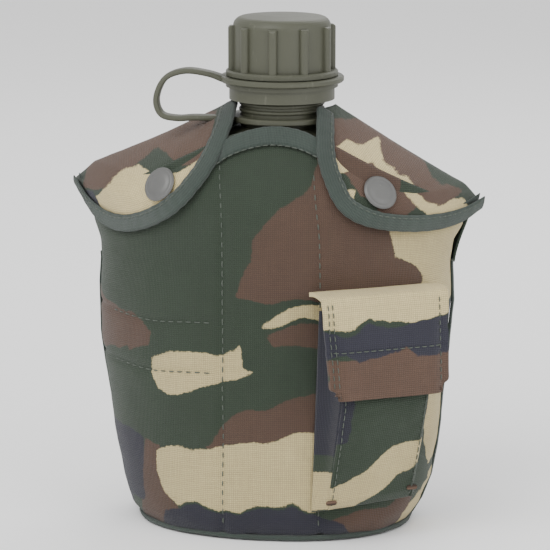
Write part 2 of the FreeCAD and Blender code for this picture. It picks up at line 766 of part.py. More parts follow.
def make_clip(side):
    name = "left" if side < 0 else "right"
    place = back_placement(side)

    def placed(shape):
        shape = shape.copy()
        shape.Placement = place.multiply(shape.Placement)
        return shape

    back = webbing_thickness + clip_standoff
    outer = back + clip_steel + belt_gap
    end = outer + clip_steel
    hw = clip_width / 2
    foot = clip_top - (end - back) / 2 - belt_height
    middle, radius = (back + end) / 2, (end - back) / 2
    bend_ring = revolve([(radius - clip_steel, -hw), (radius, -hw), (radius, hw), (radius - clip_steel, hw)])
    bend_ring = put(bend_ring, Vector(0, middle, clip_top - radius), Vector(1, 0, 0))
    bend_ring = bend_ring.common(box(-far, far, -far, far, clip_top - radius, 2 * far))
    tail = outer - 0.3
    frame = box(-hw, hw, back, back + clip_steel, foot, clip_top - radius)
    frame = frame.fuse(bend_ring).fuse(box(-hw, hw, outer, end, foot - 9.0, clip_top - radius))
    frame = frame.fuse(box(-hw * 0.55, hw * 0.55, back, tail, foot - clip_steel, foot))
    frame = frame.fuse(box(-hw * 0.55, hw * 0.55, tail - clip_steel, tail, foot - 2.5, foot))
    frame = frame.fuse(box(-hw, hw, tail - clip_steel, tail, foot - 9.0, foot - 2.0))
    parts["%s_belt_clip" % name] = placed(frame.removeSplitter())
    c, w = slider_clearance, clip_steel
    z0 = foot - 11.0
    sleeve = box(-hw - c - w, hw + c + w, tail - clip_steel - c - w, end + c + w, z0, z0 + slider_height)
    sleeve = sleeve.cut(box(-hw - c, hw + c, tail - clip_steel - c, end + c, z0 - 1, z0 + slider_height + 1))
    slot = hw * 0.55 + 0.6
    sleeve = sleeve.cut(box(-slot, slot, tail - clip_steel - c - w - 1, tail - clip_steel,
                            z0 - 1, z0 + slider_height + 1))
    thumb = box(-hw * 0.7, hw * 0.7, end + c, end + c + w + 1.6, z0 + slider_height / 2 - 1.2,
                z0 + slider_height / 2 + 1.2)
    parts["%s_clip_slider" % name] = placed(sleeve.fuse(thumb).removeSplitter())
    half = webbing_width / 2
    loops = None
    for z in webbing_loop_z:
        loop = box(-half, half, -2, back + clip_steel + 0.3 + webbing_thickness,
                   z - webbing_loop_height / 2, z + webbing_loop_height / 2)
        tunnel = box(-hw - 0.4, hw + 0.4, -9, back + clip_steel + 0.3,
                     z - webbing_loop_height, z + webbing_loop_height)
        loops = loop.cut(tunnel) if loops is None else loops.fuse(loop.cut(tunnel))
    strip = placed(box(-half, half, -15, 15, webbing_bottom, webbing_top)).common(webbing_layer)
    webbing = strip.fuse(placed(loops)).cut(cover_loft(0.02))
    parts["%s_back_webbing" % name] = max(webbing.Solids, key=lambda body: body.Volume)


# ---------------------------------------------------------------- build and write out
parts["flask"] = make_flask()
parts["screw_cap"] = make_cap()
parts["cap_gasket"] = make_gasket()
parts["retainer_cap_ring"] = make_ring(cap_ring_inner, groove_middle)
parts["retainer_neck_ring"] = make_ring(neck_ring_inner, neck_ring_height)
parts["retainer_strap"] = make_strap()
make_cover()
webbing_layer = layer(0.02, webbing_thickness)
for side, edge in ((-1, left_flap_edge), (1, right_flap_edge)):
    make_flap(side, edge)
    make_snaps(side)
    make_clip(side)
make_pocket()

os.makedirs("parts", exist_ok=True)
for name in sorted(parts):
    shape = parts[name]
    solids = shape.Solids
    solids = [body for body in solids if body.Volume > 1.0]
    whole = solids[0] if len(solids) == 1 else Part.makeCompound(solids)
    whole.exportStep("parts/%s.step" % name)
    b = whole.BoundBox
    print("%-20s %6.0f mm3  solids %d  valid %s  x %.1f..%.1f  y %.1f..%.1f  z %.1f..%.1f" % (
        name, whole.Volume, len(solids), whole.isValid(), b.XMin, b.XMax, b.YMin, b.YMax, b.ZMin, b.ZMax))

for side, name in ((-1, "left"), (1, "right")):
    print(name, "fold", hinge_line(side), "axis", hinge_axis(side))
    print(name, "clip frame", back_placement(side))
print("pocket hinge", pocket_hinge(), "axis", pocket_placement().Rotation.multVec(Vector(1, 0, 0)))
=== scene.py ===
import json
import math

import bpy
from mathutils import Matrix, Vector, noise


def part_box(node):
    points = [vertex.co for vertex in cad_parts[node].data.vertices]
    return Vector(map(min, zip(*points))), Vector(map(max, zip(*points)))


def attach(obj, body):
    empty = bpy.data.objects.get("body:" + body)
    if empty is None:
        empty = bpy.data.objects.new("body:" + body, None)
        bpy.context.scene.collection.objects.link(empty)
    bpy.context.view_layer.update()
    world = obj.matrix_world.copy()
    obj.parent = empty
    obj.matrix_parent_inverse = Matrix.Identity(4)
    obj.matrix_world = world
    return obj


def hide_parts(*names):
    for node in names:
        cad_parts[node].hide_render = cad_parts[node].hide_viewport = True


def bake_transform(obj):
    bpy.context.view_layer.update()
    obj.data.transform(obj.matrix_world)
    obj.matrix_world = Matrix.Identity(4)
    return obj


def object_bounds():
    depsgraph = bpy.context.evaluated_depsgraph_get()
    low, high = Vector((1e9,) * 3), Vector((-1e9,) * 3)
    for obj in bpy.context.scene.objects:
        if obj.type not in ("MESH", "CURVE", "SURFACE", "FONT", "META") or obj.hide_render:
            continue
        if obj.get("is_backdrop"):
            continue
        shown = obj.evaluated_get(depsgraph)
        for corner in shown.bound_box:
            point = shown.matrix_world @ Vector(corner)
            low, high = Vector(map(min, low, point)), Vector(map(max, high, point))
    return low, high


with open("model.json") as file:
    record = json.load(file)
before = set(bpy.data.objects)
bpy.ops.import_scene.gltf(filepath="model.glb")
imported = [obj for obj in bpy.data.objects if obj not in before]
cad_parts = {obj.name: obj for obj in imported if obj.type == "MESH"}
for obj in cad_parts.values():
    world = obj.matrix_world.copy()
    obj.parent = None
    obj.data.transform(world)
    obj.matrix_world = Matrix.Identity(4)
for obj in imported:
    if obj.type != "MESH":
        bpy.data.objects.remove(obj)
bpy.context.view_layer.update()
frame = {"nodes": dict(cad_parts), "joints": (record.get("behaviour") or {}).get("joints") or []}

# ------------------------------------------------------------------ the cover's front panel
# One piece of heavy woven nylon, printed in four colours before it is cut. It is sewn to the
# back and base panels and stretched over the pile and the flask, so it is a full curved shell
# with soft puckers along the seams.
MM = 0.001
BEND = 8.0 / 65.5 ** 2
# Each pair is a height and the cover's half width there.
COVER_LEFT = [(0, 56), (2, 60.5), (6, 64.5), (17, 68), (32, 71), (52, 74), (66, 76.5), (77, 78), (98, 78.4),
              (109, 77.6), (117, 78.5), (124, 81), (130, 83), (150, 84)]
COVER_RIGHT = [(0, 50), (2, 54), (9, 58.5), (19, 62.3), (32, 64.7), (42, 65.9), (53, 66.6), (70, 68.6),
               (94, 70.8), (112, 70.2), (120, 71.5), (126, 75), (150, 78)]


def between(table, at):
    """The value at a height, from a short table of (height, value)."""
    if at <= table[0][0]:
        return table[0][1]
    for (a, u), (b, v) in zip(table, table[1:]):
        if at <= b:
            return u + (v - u) * (at - a) / (b - a)
    return table[-1][1]


def clamp(value, low=0.0, high=1.0):
    return max(low, min(high, value))


def smooth(low, high, value):
    s = clamp((value - low) / (high - low))
    return s * s * (3 - 2 * s)


def cover_size(z):
    """Half widths to the left and right, half depth and the outline's two exponents at height z."""
    left, right = between(COVER_LEFT, z), between(COVER_RIGHT, z)
    edge = 9.0 - math.sqrt(max(0.0, 81.0 - (9.0 - min(z, 9.0)) ** 2))
    rise = clamp((z - 134) / 37)
    depth = 40.8 - edge * 0.8 - 18.2 * rise ** 1.5
    flare = smooth(106, 136, z)
    return left, right, depth, 2.5 - 0.4 * flare, 0.42 + 0.34 * flare


def front_y(x, z):
    left, right, depth, n, e = cover_size(z)
    share = clamp(abs(x) / (right if x > 0 else left))
    return BEND * x * x - depth * (1 - share ** n) ** e


def cover_front(t, z):
    """A point of the front shell: t runs from the left seam at -1 to the right seam at 1."""
    left, right, depth, n, e = cover_size(z)
    c = math.sin(t * math.pi / 2)
    x = c * (right if t > 0 else left)
    y = BEND * x * x - depth * (1 - abs(c) ** n) ** e
    return Vector((x, y, z))


def cover_back(t, z):
    left, right, depth, n, e = cover_size(z)
    c = math.sin(t * math.pi / 2)
    x = c * (right if t > 0 else left)
    hollow = 2.5 * clamp((150 - z) / 40) * math.exp(-((x / 28) ** 2))
    return Vector((x, BEND * x * x + (depth - hollow) * (1 - abs(c) ** n) ** e, z))


def outward(surface, t, z, step=0.01, rise=0.8):
    """The unit normal of a shell at t and z, pointing away from the flask."""
    a = surface(min(t + step, 1.0), z) - surface(max(t - step, -1.0), z)
    b = surface(t, z + rise) - surface(t, z - rise)
    n = a.cross(b)
    n.normalize()
    p = surface(t, z)
    if n.dot(Vector((p.x, p.y - BEND * p.x * p.x, 0))) < 0:
        n.negate()
    return n


def grain(x, y, z, size, seed):
    """Smooth noise from -1 to 1 whose waves are about size millimetres long."""
    return noise.noise(Vector((x / size + seed, y / size - seed, z / size + 2 * seed)))


def sheet_of(name, columns, rows, place, closed=False):
    """A grid whose vertices are put in place by place(u, v), with a UV map in millimetres."""
    bpy.ops.object.select_all(action="DESELECT")
    bpy.ops.mesh.primitive_grid_add(x_subdivisions=columns, y_subdivisions=rows, size=1)
    o = bpy.context.object
    o.name = name
    spots = [(v.co.x + 0.5, v.co.y + 0.5) for v in o.data.vertices]
    at = [place(u, v) for u, v in spots]
    order = {}
    for i, (u, v) in enumerate(spots):
        order[(round(u * columns), round(v * rows))] = i
    along, across = [0.0] * len(at), [0.0] * len(at)
    middle = columns // 2
    for j in range(rows + 1):
        for i in range(1, columns + 1):
            k, before = order[(i, j)], order[(i - 1, j)]
            along[k] = along[before] + (at[k] - at[before]).length
        shift = along[order[(middle, j)]]
        for i in range(columns + 1):
            along[order[(i, j)]] -= shift
    for i in range(columns + 1):
        for j in range(1, rows + 1):
            k, before = order[(i, j)], order[(i, j - 1)]
            across[k] = across[before] + (at[k] - at[before]).length
    uv = o.data.uv_layers.active.data
    for loop in o.data.loops:
        uv[loop.index].uv = (along[loop.vertex_index], across[loop.vertex_index])
    for v, p in zip(o.data.vertices, at):
        v.co = p * MM
    if closed:
        merge_doubles(o)
    bpy.ops.object.shade_smooth()
    return o, spots, at


def merge_doubles(o, distance=0.00001):
    only(o)
    bpy.ops.object.mode_set(mode="EDIT")
    bpy.ops.mesh.select_all(action="SELECT")
    bpy.ops.mesh.remove_doubles(threshold=distance)
    bpy.ops.mesh.normals_make_consistent(inside=False)
    bpy.ops.object.mode_set(mode="OBJECT")


def only(o):
    bpy.ops.object.select_all(action="DESELECT")
    o.select_set(True)
    bpy.context.view_layer.objects.active = o


def face_out(o, middle=(0, 0, 0.09)):
    """Turns the faces of an open sheet so that most of them look away from the middle."""
    total = sum((f.center - Vector(middle)).dot(f.normal) * f.area for f in o.data.polygons)
    if total < 0:
        o.data.flip_normals()


def apply(o, kind, **settings):
    only(o)
    m = o.modifiers.new(kind.title(), kind)
    for key, value in settings.items():
        setattr(m, key, value)
    bpy.ops.object.modifier_apply(modifier=m.name)


class Wire:
    """A socket in a material. Arithmetic on it adds Math nodes."""

    def __init__(self, tree, socket):
        self.tree, self.socket = tree, socket

    def make(self, kind, settings=None, inputs=None, out=0):
        node = self.tree.nodes.new(kind)
        for key, value in (settings or {}).items():
            setattr(node, key, value)
        for key, value in (inputs or {}).items():
            if isinstance(value, Wire):
                self.tree.links.new(value.socket, node.inputs[key])
            else:
                node.inputs[key].default_value = value
        return Wire(self.tree, node.outputs[out])

    def math(self, operation, *values):
        return self.make("ShaderNodeMath", {"operation": operation}, dict(enumerate(values or (self,))))

    def __add__(self, other): return self.math("ADD", self, other)
    def __radd__(self, other): return self.math("ADD", other, self)
    def __sub__(self, other): return self.math("SUBTRACT", self, other)
    def __rsub__(self, other): return self.math("SUBTRACT", other, self)
    def __mul__(self, other): return self.math("MULTIPLY", self, other)
    def __rmul__(self, other): return self.math("MULTIPLY", other, self)
    def __truediv__(self, other): return self.math("DIVIDE", self, other)
    def __pow__(self, other): return self.math("POWER", self, other)

    def ramp(self, low, high):
        """0 below low, 1 above high, and smooth between them."""
        return self.make("ShaderNodeMapRange", {"interpolation_type": "SMOOTHSTEP"},
                         {0: self, 1: low, 2: high, 3: 0.0, 4: 1.0})

    def mix(self, a, b):
        """Colour a where this is 0 and b where it is 1."""
        return self.make("ShaderNodeMix", {"data_type": "RGBA"}, {0: self, 6: a, 7: b}, 2)

    def xyz(self):
        return [self.make("ShaderNodeSeparateXYZ", inputs={0: self}, out=i) for i in range(3)]

    def noise(self, scale, detail=3.0, roughness=0.5):
        return self.make("ShaderNodeTexNoise", inputs={"Vector": self, "Scale": scale, "Detail": detail,
                                                       "Roughness": roughness})

    def stretch(self, x, y, z):
        return self.make("ShaderNodeVectorMath", {"operation": "MULTIPLY"}, {0: self, 1: (x, y, z)})


class Finish:
    """A material under construction: its shader, its coordinates and its attributes."""

    def __init__(self, name, roughness=0.6, **constants):
        self.material = bpy.data.materials.new(name)
        self.material.use_nodes = True
        self.tree = self.material.node_tree
        self.shader = self.tree.nodes["Principled BSDF"]
        self.shader.inputs["Roughness"].default_value = roughness
        for key, value in constants.items():
            self.shader.inputs[key.replace("_", " ")].default_value = value
        self.start = Wire(self.tree, None)

    def uv(self):
        return self.start.make("ShaderNodeTexCoord", out=2)

    def object(self):
        return self.start.make("ShaderNodeTexCoord", out=3)

    def attribute(self, name):
        return self.start.make("ShaderNodeAttribute", {"attribute_name": name}, out=2)

    def feed(self, socket, wire):
        if isinstance(wire, Wire):
            self.tree.links.new(wire.socket, self.shader.inputs[socket])
        else:
            self.shader.inputs[socket].default_value = wire

    def bump(self, height, distance, strength=1.0):
        self.feed("Normal", self.start.make("ShaderNodeBump", inputs={
            "Height": height, "Distance": distance, "Strength": strength}))

    def paint(self, *objects):
        for o in objects:
            if not o.data.materials:
                o.data.materials.append(self.material)
            for i in range(len(o.data.materials)):
                o.data.materials[i] = self.material


def woven(uv, pitch):
    """The height of a plain weave of round yarns, from 0 to 1, on a UV map in millimetres."""
    u, v, _ = uv.xyz()
    u, v = u / pitch, v / pitch
    fu, fv = (u * math.pi).math("SINE").math("ABSOLUTE"), (v * math.pi).math("SINE").math("ABSOLUTE")
    checker = ((u.math("FLOOR") + v.math("FLOOR")) / 2).math("FRACT")
    over = checker.math("GREATER_THAN", checker, 0.25)
    warp, weft = (fu ** 0.5) * fv, (fv ** 0.5) * fu
    return warp * over + weft * (1 - over), over


SAND, GREEN = (0.50, 0.415, 0.215, 1), (0.029, 0.043, 0.027, 1)
BROWN, DARK = (0.082, 0.049, 0.034, 1), (0.022, 0.022, 0.033, 1)


def make_camouflage(name, painted_light=1.0):
    f = Finish(name, roughness=0.85, Sheen_Weight=0.12, Sheen_Roughness=0.5, Specular_IOR_Level=0.25)
    uv, spot = f.uv(), f.object()
    frayed = (spot.noise(900.0, 2.0) - 0.5) * 1.3
    colour = GREEN
    for word, paint in (("brown", BROWN), ("sand", SAND), ("dark", DARK)):
        inside = (f.attribute(word) + frayed).ramp(-0.35, 0.35)
        # A factor above 1 lightens every print colour: painted light, a brighter lit copy of the same nylon.
        paint = tuple(c * painted_light for c in paint[:3]) + (1,)
        colour = inside.mix(colour, paint)
    height, over = woven(uv, 0.82)
    yarn_u = uv.stretch(0.10, 1.25, 1).noise(1.0, 3.0)
    yarn_v = uv.stretch(1.25, 0.10, 1).noise(1.0, 3.0)
    yarn = yarn_u * over + yarn_v * (1 - over)
    shade = 0.62 + height * 0.42 + (yarn - 0.5) * 0.5 + (spot.noise(38.0, 3.0) - 0.5) * 0.22
    tint = f.start.make("ShaderNodeVectorMath", {"operation": "SCALE"}, {0: colour, 3: shade})
    f.feed("Base Color", tint)
    f.feed("Roughness", 0.78 + (yarn - 0.5) * 0.3)
    f.bump(height + (yarn - 0.5) * 0.35, 0.00022, 0.9)
    return f


camouflage = make_camouflage("camouflage_nylon")


def depth_inside(x, z, outline):
    """How far a point lies inside a closed outline, in millimetres, negative outside."""
    nearest, inside = 1e9, False
    for (ax, az), (bx, bz) in zip(outline, outline[1:] + outline[:1]):
        dx, dz = bx - ax, bz - az
        s = clamp(((x - ax) * dx + (z - az) * dz) / max(1e-9, dx * dx + dz * dz))
        nearest = min(nearest, math.hypot(x - ax - s * dx, z - az - s * dz))
        if (az > z) != (bz > z) and x < ax + (z - az) / (bz - az) * dx:
            inside = not inside
    return nearest if inside else -nearest


def print_camouflage(o, spots, patches, wander=3.0, seed=0.0):
    """Prints the patches on a piece: for each colour, how deep each vertex lies inside its outlines."""
    for word in ("brown", "sand", "dark"):
        layer = o.data.attributes.new(word, "FLOAT", "POINT")
        values = []
        for x, z in spots:
            wx = x + wander * grain(x, z, 0, 14, seed + 3.1) + 0.8 * grain(x, z, 0, 4, seed)
            wz = z + wander * grain(x, z, 0, 14, seed + 9.7) + 0.8 * grain(x, z, 0, 4, seed + 5)
            depths = [depth_inside(wx, wz, outline) for outline in patches.get(word, [])]
            values.append(max(depths or [-50.0]))
        layer.data.foreach_set("value", values)


FRONT_PRINT = {
    "brown": [
        [(17, 168), (17, 158), (14, 150), (8, 141), (-2, 134), (-7, 125), (-9, 118), (-13, 103),
         (-2, 100), (9, 102), (22, 101), (60, 104), (60, 110), (57, 114), (50, 119), (48, 126),
         (52, 150), (30, 170)],
        [(-94, 100), (-79, 99), (-66, 94), (-56, 90), (-50, 86), (-51, 80), (-60, 76), (-75, 73),
         (-94, 70)],
        [(-28, 39), (-24, 45), (-19, 50), (-10, 56), (1, 59), (18, 62), (26, 62), (26, 48), (11, 46),
         (-2, 43), (-19, 41)],
        [(-55, 39), (-47, 38), (-47, 28), (-44, 18), (-40, 10), (-42, 2), (-57, 2), (-58, 20)],
        [(20, 9), (34, 13), (48, 15), (57, 19), (54, 9), (46, 2), (40, -6), (20, -6)],
        [(-2, 87), (8, 90), (21, 92), (21, 84), (8, 81), (0, 82)],
    ],
    "sand": [
        [(48, 134), (98, 138), (98, 94), (63, 98), (60, 104), (60, 110), (57, 114), (50, 119),
         (48, 126)],
        [(-50, 75), (-42, 77), (-32, 78), (-20, 79), (-13, 84), (-12, 75), (-7, 74), (-16, 69),
         (-27, 64), (-43, 59), (-48, 62), (-51, 69)],
        [(-4, 90), (0, 94), (6, 97), (14, 99), (22, 100), (22, 93), (12, 93), (2, 90)],
        [(-49, 36), (-43, 37), (-33, 38), (-19, 41), (-2, 43), (11, 46), (20, 49), (22, 14), (7, 17),
         (-2, 14), (-12, 11), (-20, 14), (-30, 15), (-40, 11), (-45, 19), (-48, 27)],
        [(62, 72), (98, 76), (98, 30), (70, 26), (62, 30), (61, 50)],
        [(46, 2), (52, 9), (60, 16), (72, 24), (90, 22), (90, -6), (42, -6)],
    ],
    "dark": [
        [(-46, 11), (-40, 10), (-30, 14), (-20, 13), (-12, 10), (-2, 13), (7, 16), (18, 14), (30, 8),
         (34, -6), (-46, -6)],
        [(-90, 46), (-66, 42), (-56, 38), (-56, 10), (-90, 2)],
        [(78, 92), (98, 96), (98, 80), (80, 80)],
    ],
}
FRONT_COLUMNS, FRONT_ROWS = 132, 120


def front_top(x):
    """The height of the front panel's top edge: an arch in the middle that dips under the flaps."""
    a = abs(x)
    if a < 21:
        return 170.4 - 6.0 * (a / 21) ** 2
    return 164.4 - (a - 21) * 0.60


def lumps(x, z, seed):
    """Soft unevenness of cloth over pile, in millimetres."""
    return (0.75 * grain(x, z, 0, 34, seed) + 0.35 * grain(x, z, 0, 13, seed + 4)
            + 0.12 * grain(x, z, 0, 5, seed + 8))


def side_line(x, which):
    """The height of the two stitch lines that cross the left side."""
    return (91.5, 70.5)[which] - 1.4 * math.exp(-((x + 52) / 14) ** 2)


def stitch_column(k, z):
    """Where the left (0) and right (1) upright stitch rows run at height z."""
    return (-20.2 - 2.4 * smooth(132, 158, z)) if k == 0 else (19.9 - 3.6 * smooth(125, 160, z))


def groove(distance, width, depth):
    return -depth * math.exp(-(distance / width) ** 2)


def on_front(x, z, lift=0.0):
    """A point on the finished front panel above x and z, lifted by lift."""
    left, right, depth, n, e = cover_size(z)
    t = math.asin(clamp(x / (right if x > 0 else left), -1, 1)) / (math.pi / 2)
    p, out = cover_front(t, z), outward(cover_front, t, z)
    push = lumps(x, z, 1.3)
    for k in (0, 1):
        off = x - stitch_column(k, z)
        push += groove(off, 1.6, 0.9) + 0.25 * math.exp(-(off / 5) ** 2) * grain(x, z, 0, 7, 2.2)
    if x < -20:
        for which in (0, 1):
            push += groove(z - side_line(x, which), 1.5, 0.8) * smooth(-20, -26, x)
    push += 0.9 * math.exp(-((z - 3.0) / 7) ** 2) * grain(x, 0, z, 9, 5.5)
    push += 0.8 * smooth(0.93, 1.0, abs(t)) * grain(z, x, 0, 10, 7.7)
    return p + out * (push + lift - 0.3)


def front_place(u, v):
    t = u * 2 - 1
    low = 2.0
    x = math.sin(t * math.pi / 2) * 70
    high = max(front_top(x), 128)
    z = low + (high - low) * v
    left, right = cover_size(z)[:2]
    x = math.sin(t * math.pi / 2) * (right if t > 0 else left)
    return on_front(x, z)


cover_front_cloth, spots, at = sheet_of("cover_front_cloth", FRONT_COLUMNS, FRONT_ROWS, front_place)
# The print runs round the panel's curve, so its outlines are unrolled from a cylinder of this radius.
UNROLL = 72


def unrolled(x):
    return UNROLL * math.asin(clamp(x / UNROLL, -1, 1))


flat_spots = [(UNROLL * (u * 2 - 1) * math.pi / 2 if abs(p.x) > 62 else unrolled(p.x), p.z)
              for (u, v), p in zip(spots, at)]
flat_print = {word: [[(unrolled(x) if abs(x) <= 62 else x * 1.27, z) for x, z in outline]
                     for outline in outlines] for word, outlines in FRONT_PRINT.items()}
print_camouflage(cover_front_cloth, flat_spots, flat_print)
face_out(cover_front_cloth)
apply(cover_front_cloth, "SOLIDIFY", thickness=0.0012, offset=-1)
camouflage.paint(cover_front_cloth)
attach(cover_front_cloth, "cover")
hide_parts("cover_front_panel")

# ------------------------------------------------------------------ the cover's back and base
# The back panel is the same printed nylon, flatter and a little hollow against the hip. The
# base panel closes the bottom, with a rolled seam all round and a small eyelet that lets water out.
BACK_PRINT = {
    "brown": [[(-90, 100), (-50, 112), (-20, 96), (-8, 74), (-30, 60), (-60, 70), (-88, 66)],
              [(10, 40), (40, 52), (70, 44), (96, 52), (96, 24), (60, 18), (24, 22)],
              [(20, 160), (60, 150), (80, 128), (50, 122), (24, 132)]],
    "sand": [[(-10, 132), (16, 126), (44, 112), (60, 92), (40, 84), (14, 92), (-8, 108), (-24, 120)],
             [(-80, 44), (-44, 50), (-14, 38), (4, 22), (-20, 14), (-52, 20), (-84, 22)],
             [(66, 82), (96, 90), (98, 66), (72, 60)]],
    "dark": [[(-60, 140), (-30, 146), (-12, 132), (-30, 120), (-64, 122)],
             [(-40, 14), (0, 16), (30, 8), (24, -6), (-40, -6)],
             [(4, 76), (30, 78), (50, 66), (30, 56), (8, 60)], [(70, 120), (96, 124), (96, 104), (78, 100)]],
}


def back_place(u, v):
    t = 1 - u * 2
    x = math.sin(t * math.pi / 2) * 70
    high = max(166 - max(0.0, abs(x) - 12) * 0.6, 128)
    z = 2.0 + (high - 2.0) * v
    p, out = cover_back(t, z), outward(cover_back, t, z)
    push = lumps(p.x, z, 6.1) + 0.9 * math.exp(-((z - 3) / 7) ** 2) * grain(p.x, 1, z, 9, 3.5)
    push += 0.8 * smooth(0.93, 1.0, abs(t)) * grain(z, p.x, 0, 10, 7.7)
    return p + out * (push - 0.3)


cover_back_cloth, spots, at = sheet_of("cover_back_cloth", 100, 90, back_place)
flat_spots = [(-UNROLL * (u * 2 - 1) * math.pi / 2, p.z) for (u, v), p in zip(spots, at)]
print_camouflage(cover_back_cloth, flat_spots, BACK_PRINT, seed=40.0)
face_out(cover_back_cloth)
apply(cover_back_cloth, "SOLIDIFY", thickness=0.0012, offset=-1)


def base_place(u, v):
    """The base is a disc: u runs round it, v from the middle to the rim."""
    angle = u * 2 * math.pi
    left, right, depth, n, e = cover_size(1.0)
    c, s = math.cos(angle), math.sin(angle)
    wide = (right if c > 0 else left) + 1.0
    x = wide * abs(c) ** 0.9 * (1 if c > 0 else -1)
    y = BEND * x * x + (1 if s > 0 else -1) * (depth - 0.5) * (1 - min(1.0, abs(c) ** 0.9) ** n) ** e
    sag = 0.9 * smooth(0.86, 1.0, v)
    return Vector((x * v, y * v, 0.35 + sag + 0.15 * grain(x * v, y * v, 0, 12, 3) * (1 - v)))


cover_base_cloth, spots, at = sheet_of("cover_base_cloth", 96, 26, base_place, closed=True)
print_camouflage(cover_base_cloth, [(v.co.x / MM, v.co.y / MM + 60) for v in cover_base_cloth.data.vertices],
                 {"brown": [[(-50, 84), (-10, 90), (0, 70), (-30, 60), (-54, 64)]],
                  "sand": [[(0, 60), (30, 70), (50, 50), (20, 38)]],
                  "dark": [[(-40, 50), (-10, 54), (-14, 34), (-44, 38)]]}, seed=80.0)
face_out(cover_base_cloth, (0, 0, 0.09))
apply(cover_base_cloth, "SOLIDIFY", thickness=0.001, offset=-1)
camouflage.paint(cover_back_cloth, cover_base_cloth)
for cloth, node in ((cover_back_cloth, "cover_back_panel"), (cover_base_cloth, "cover_base_panel")):
    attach(cloth, "cover")
    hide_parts(node)

# ------------------------------------------------------------------ binding tape and seams
# Ribbed woven tape, dark grey-green, folded over each raw edge and sewn through with one row of
# stitches: the front arch, the back's top edge, both flaps, and the side and base seams.
tape = Finish("binding_tape", roughness=0.9, Sheen_Weight=0.15, Sheen_Roughness=0.5, Specular_IOR_Level=0.2)
u, v, _ = tape.uv().xyz()
rib = (u * (math.pi / 0.62)).math("SINE").math("ABSOLUTE")
chain = (v * (math.pi / 1.1) + rib * 0.6).math("SINE").math("ABSOLUTE")
worn = tape.object().noise(60.0, 4.0)
fibre = tape.uv().stretch(3.0, 0.6, 1).noise(1.0, 2.0)
shade = 0.45 + rib * 0.45 + chain * 0.18 + (worn - 0.5) * 0.35 + (fibre - 0.5) * 0.4
tape.feed("Base Color", tape.start.make("ShaderNodeVectorMath", {"operation": "SCALE"},
                                        {0: (0.050, 0.066, 0.056), 3: shade}))
tape.bump(rib + chain * 0.25 + fibre * 0.3, 0.00025, 0.9)


def curve_points(points, count):
    """Evenly spread points on a smooth open curve through the given ones."""
    dense = []
    padded = [points[0] * 2 - points[1]] + points + [points[-1] * 2 - points[-2]]
    for i in range(1, len(padded) - 2):
        a, b, c, d = padded[i - 1:i + 3]
        for k in range(24):
            s = k / 24
            dense.append(0.5 * ((2 * b) + (c - a) * s + (2 * a - 5 * b + 4 * c - d) * s * s
                                + (3 * b - a - 3 * c + d) * s ** 3))
    dense.append(points[-1])
    run = [0.0]
    for a, b in zip(dense, dense[1:]):
        run.append(run[-1] + (b - a).length)
    spread, k = [], 0
    for i in range(count):
        target = run[-1] * i / (count - 1)
        while k < len(run) - 2 and run[k + 1] < target:
            k += 1
        s = (target - run[k]) / max(1e-9, run[k + 1] - run[k])
        spread.append(dense[k].lerp(dense[k + 1], clamp(s)))
    return spread


def folded_tape(name, edge, inward, out, width, thick=0.9, body=0.9, columns=90, seed=0.0):
    """Tape folded over an edge, given by its points and the directions into the cloth and out of it."""
    section = []
    for k in range(5):
        section.append((width * (1 - k / 4), body / 2 + thick))
    for k in range(1, 6):
        a = math.pi / 2 - math.pi * k / 6
        section.append((-math.cos(a) * thick * 0.9, math.sin(a) * (body / 2 + thick)))
    for k in range(5):
        section.append((width * k / 4, -body / 2 - thick))
    rows = len(section) - 1

    def place(u, v):
        f = u * (len(edge) - 1)
        k = min(int(f), len(edge) - 2)
        s = f - k
        p = edge[k].lerp(edge[k + 1], s)
        i, o = inward[k].lerp(inward[k + 1], s).normalized(), out[k].lerp(out[k + 1], s).normalized()
        a, b = section[min(rows, round(v * rows))]
        puff = 0.28 * math.sin(math.pi * clamp(a / width)) if b > 0 else 0
        ripple = 0.22 * grain(f * 2.0, a, b, 6, seed) + 0.15 * math.sin(f * 2.2 + seed)
        return p + i * (a + ripple * 0.5) + o * (b + puff + ripple * (0.5 if b > 0 else 0.2))

    o, _, _ = sheet_of(name, columns, rows, place)
    face_out(o, sum((p + i * width * 0.5 for p, i in zip(edge, inward)), Vector()) / len(edge) * MM)
    apply(o, "SOLIDIFY", thickness=0.0004, offset=-1)
    tape.paint(o)
    return o


def stitches(name, line, out, length=2.1, gap=0.9, radius=0.26, offset=0.15, finish=None, body="cover"):
    """A row of separate thread stitches along a line of points, each dipping into the cloth at its ends."""
    run = [0.0]
    for a, b in zip(line, line[1:]):
        run.append(run[-1] + (b - a).length)

    def on(distance):
        k = 0
        while k < len(run) - 2 and run[k + 1] < distance:
            k += 1
        s = clamp((distance - run[k]) / max(1e-9, run[k + 1] - run[k]))
        return line[k].lerp(line[k + 1], s), out[k].lerp(out[k + 1], s).normalized()

    thread = bpy.data.curves.new(name, "CURVE")
    thread.dimensions = "3D"
    thread.bevel_depth = radius * MM
    thread.bevel_resolution = 1
    thread.use_fill_caps = True
    pitch = length + gap
    for k in range(int(run[-1] / pitch)):
        first = k * pitch + gap / 2
        spline = thread.splines.new("POLY")
        spline.points.add(4)
        for j in range(5):
            p, n = on(first + length * j / 4)
            lift = offset + radius * (0.4 - 1.7 * abs(j / 2 - 1) ** 3)
            spline.points[j].co = (*((p + n * lift) * MM), 1)
            spline.points[j].radius = 1.0 if 0 < j < 4 else 0.6
    o = bpy.data.objects.new(name, thread)
    bpy.context.scene.collection.objects.link(o)
    only(o)
    bpy.ops.object.convert(target="MESH")
    o = bpy.context.object
    bpy.ops.object.shade_smooth()
    (finish or thread_green).paint(o)
    if body:
        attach(o, body)
    return o


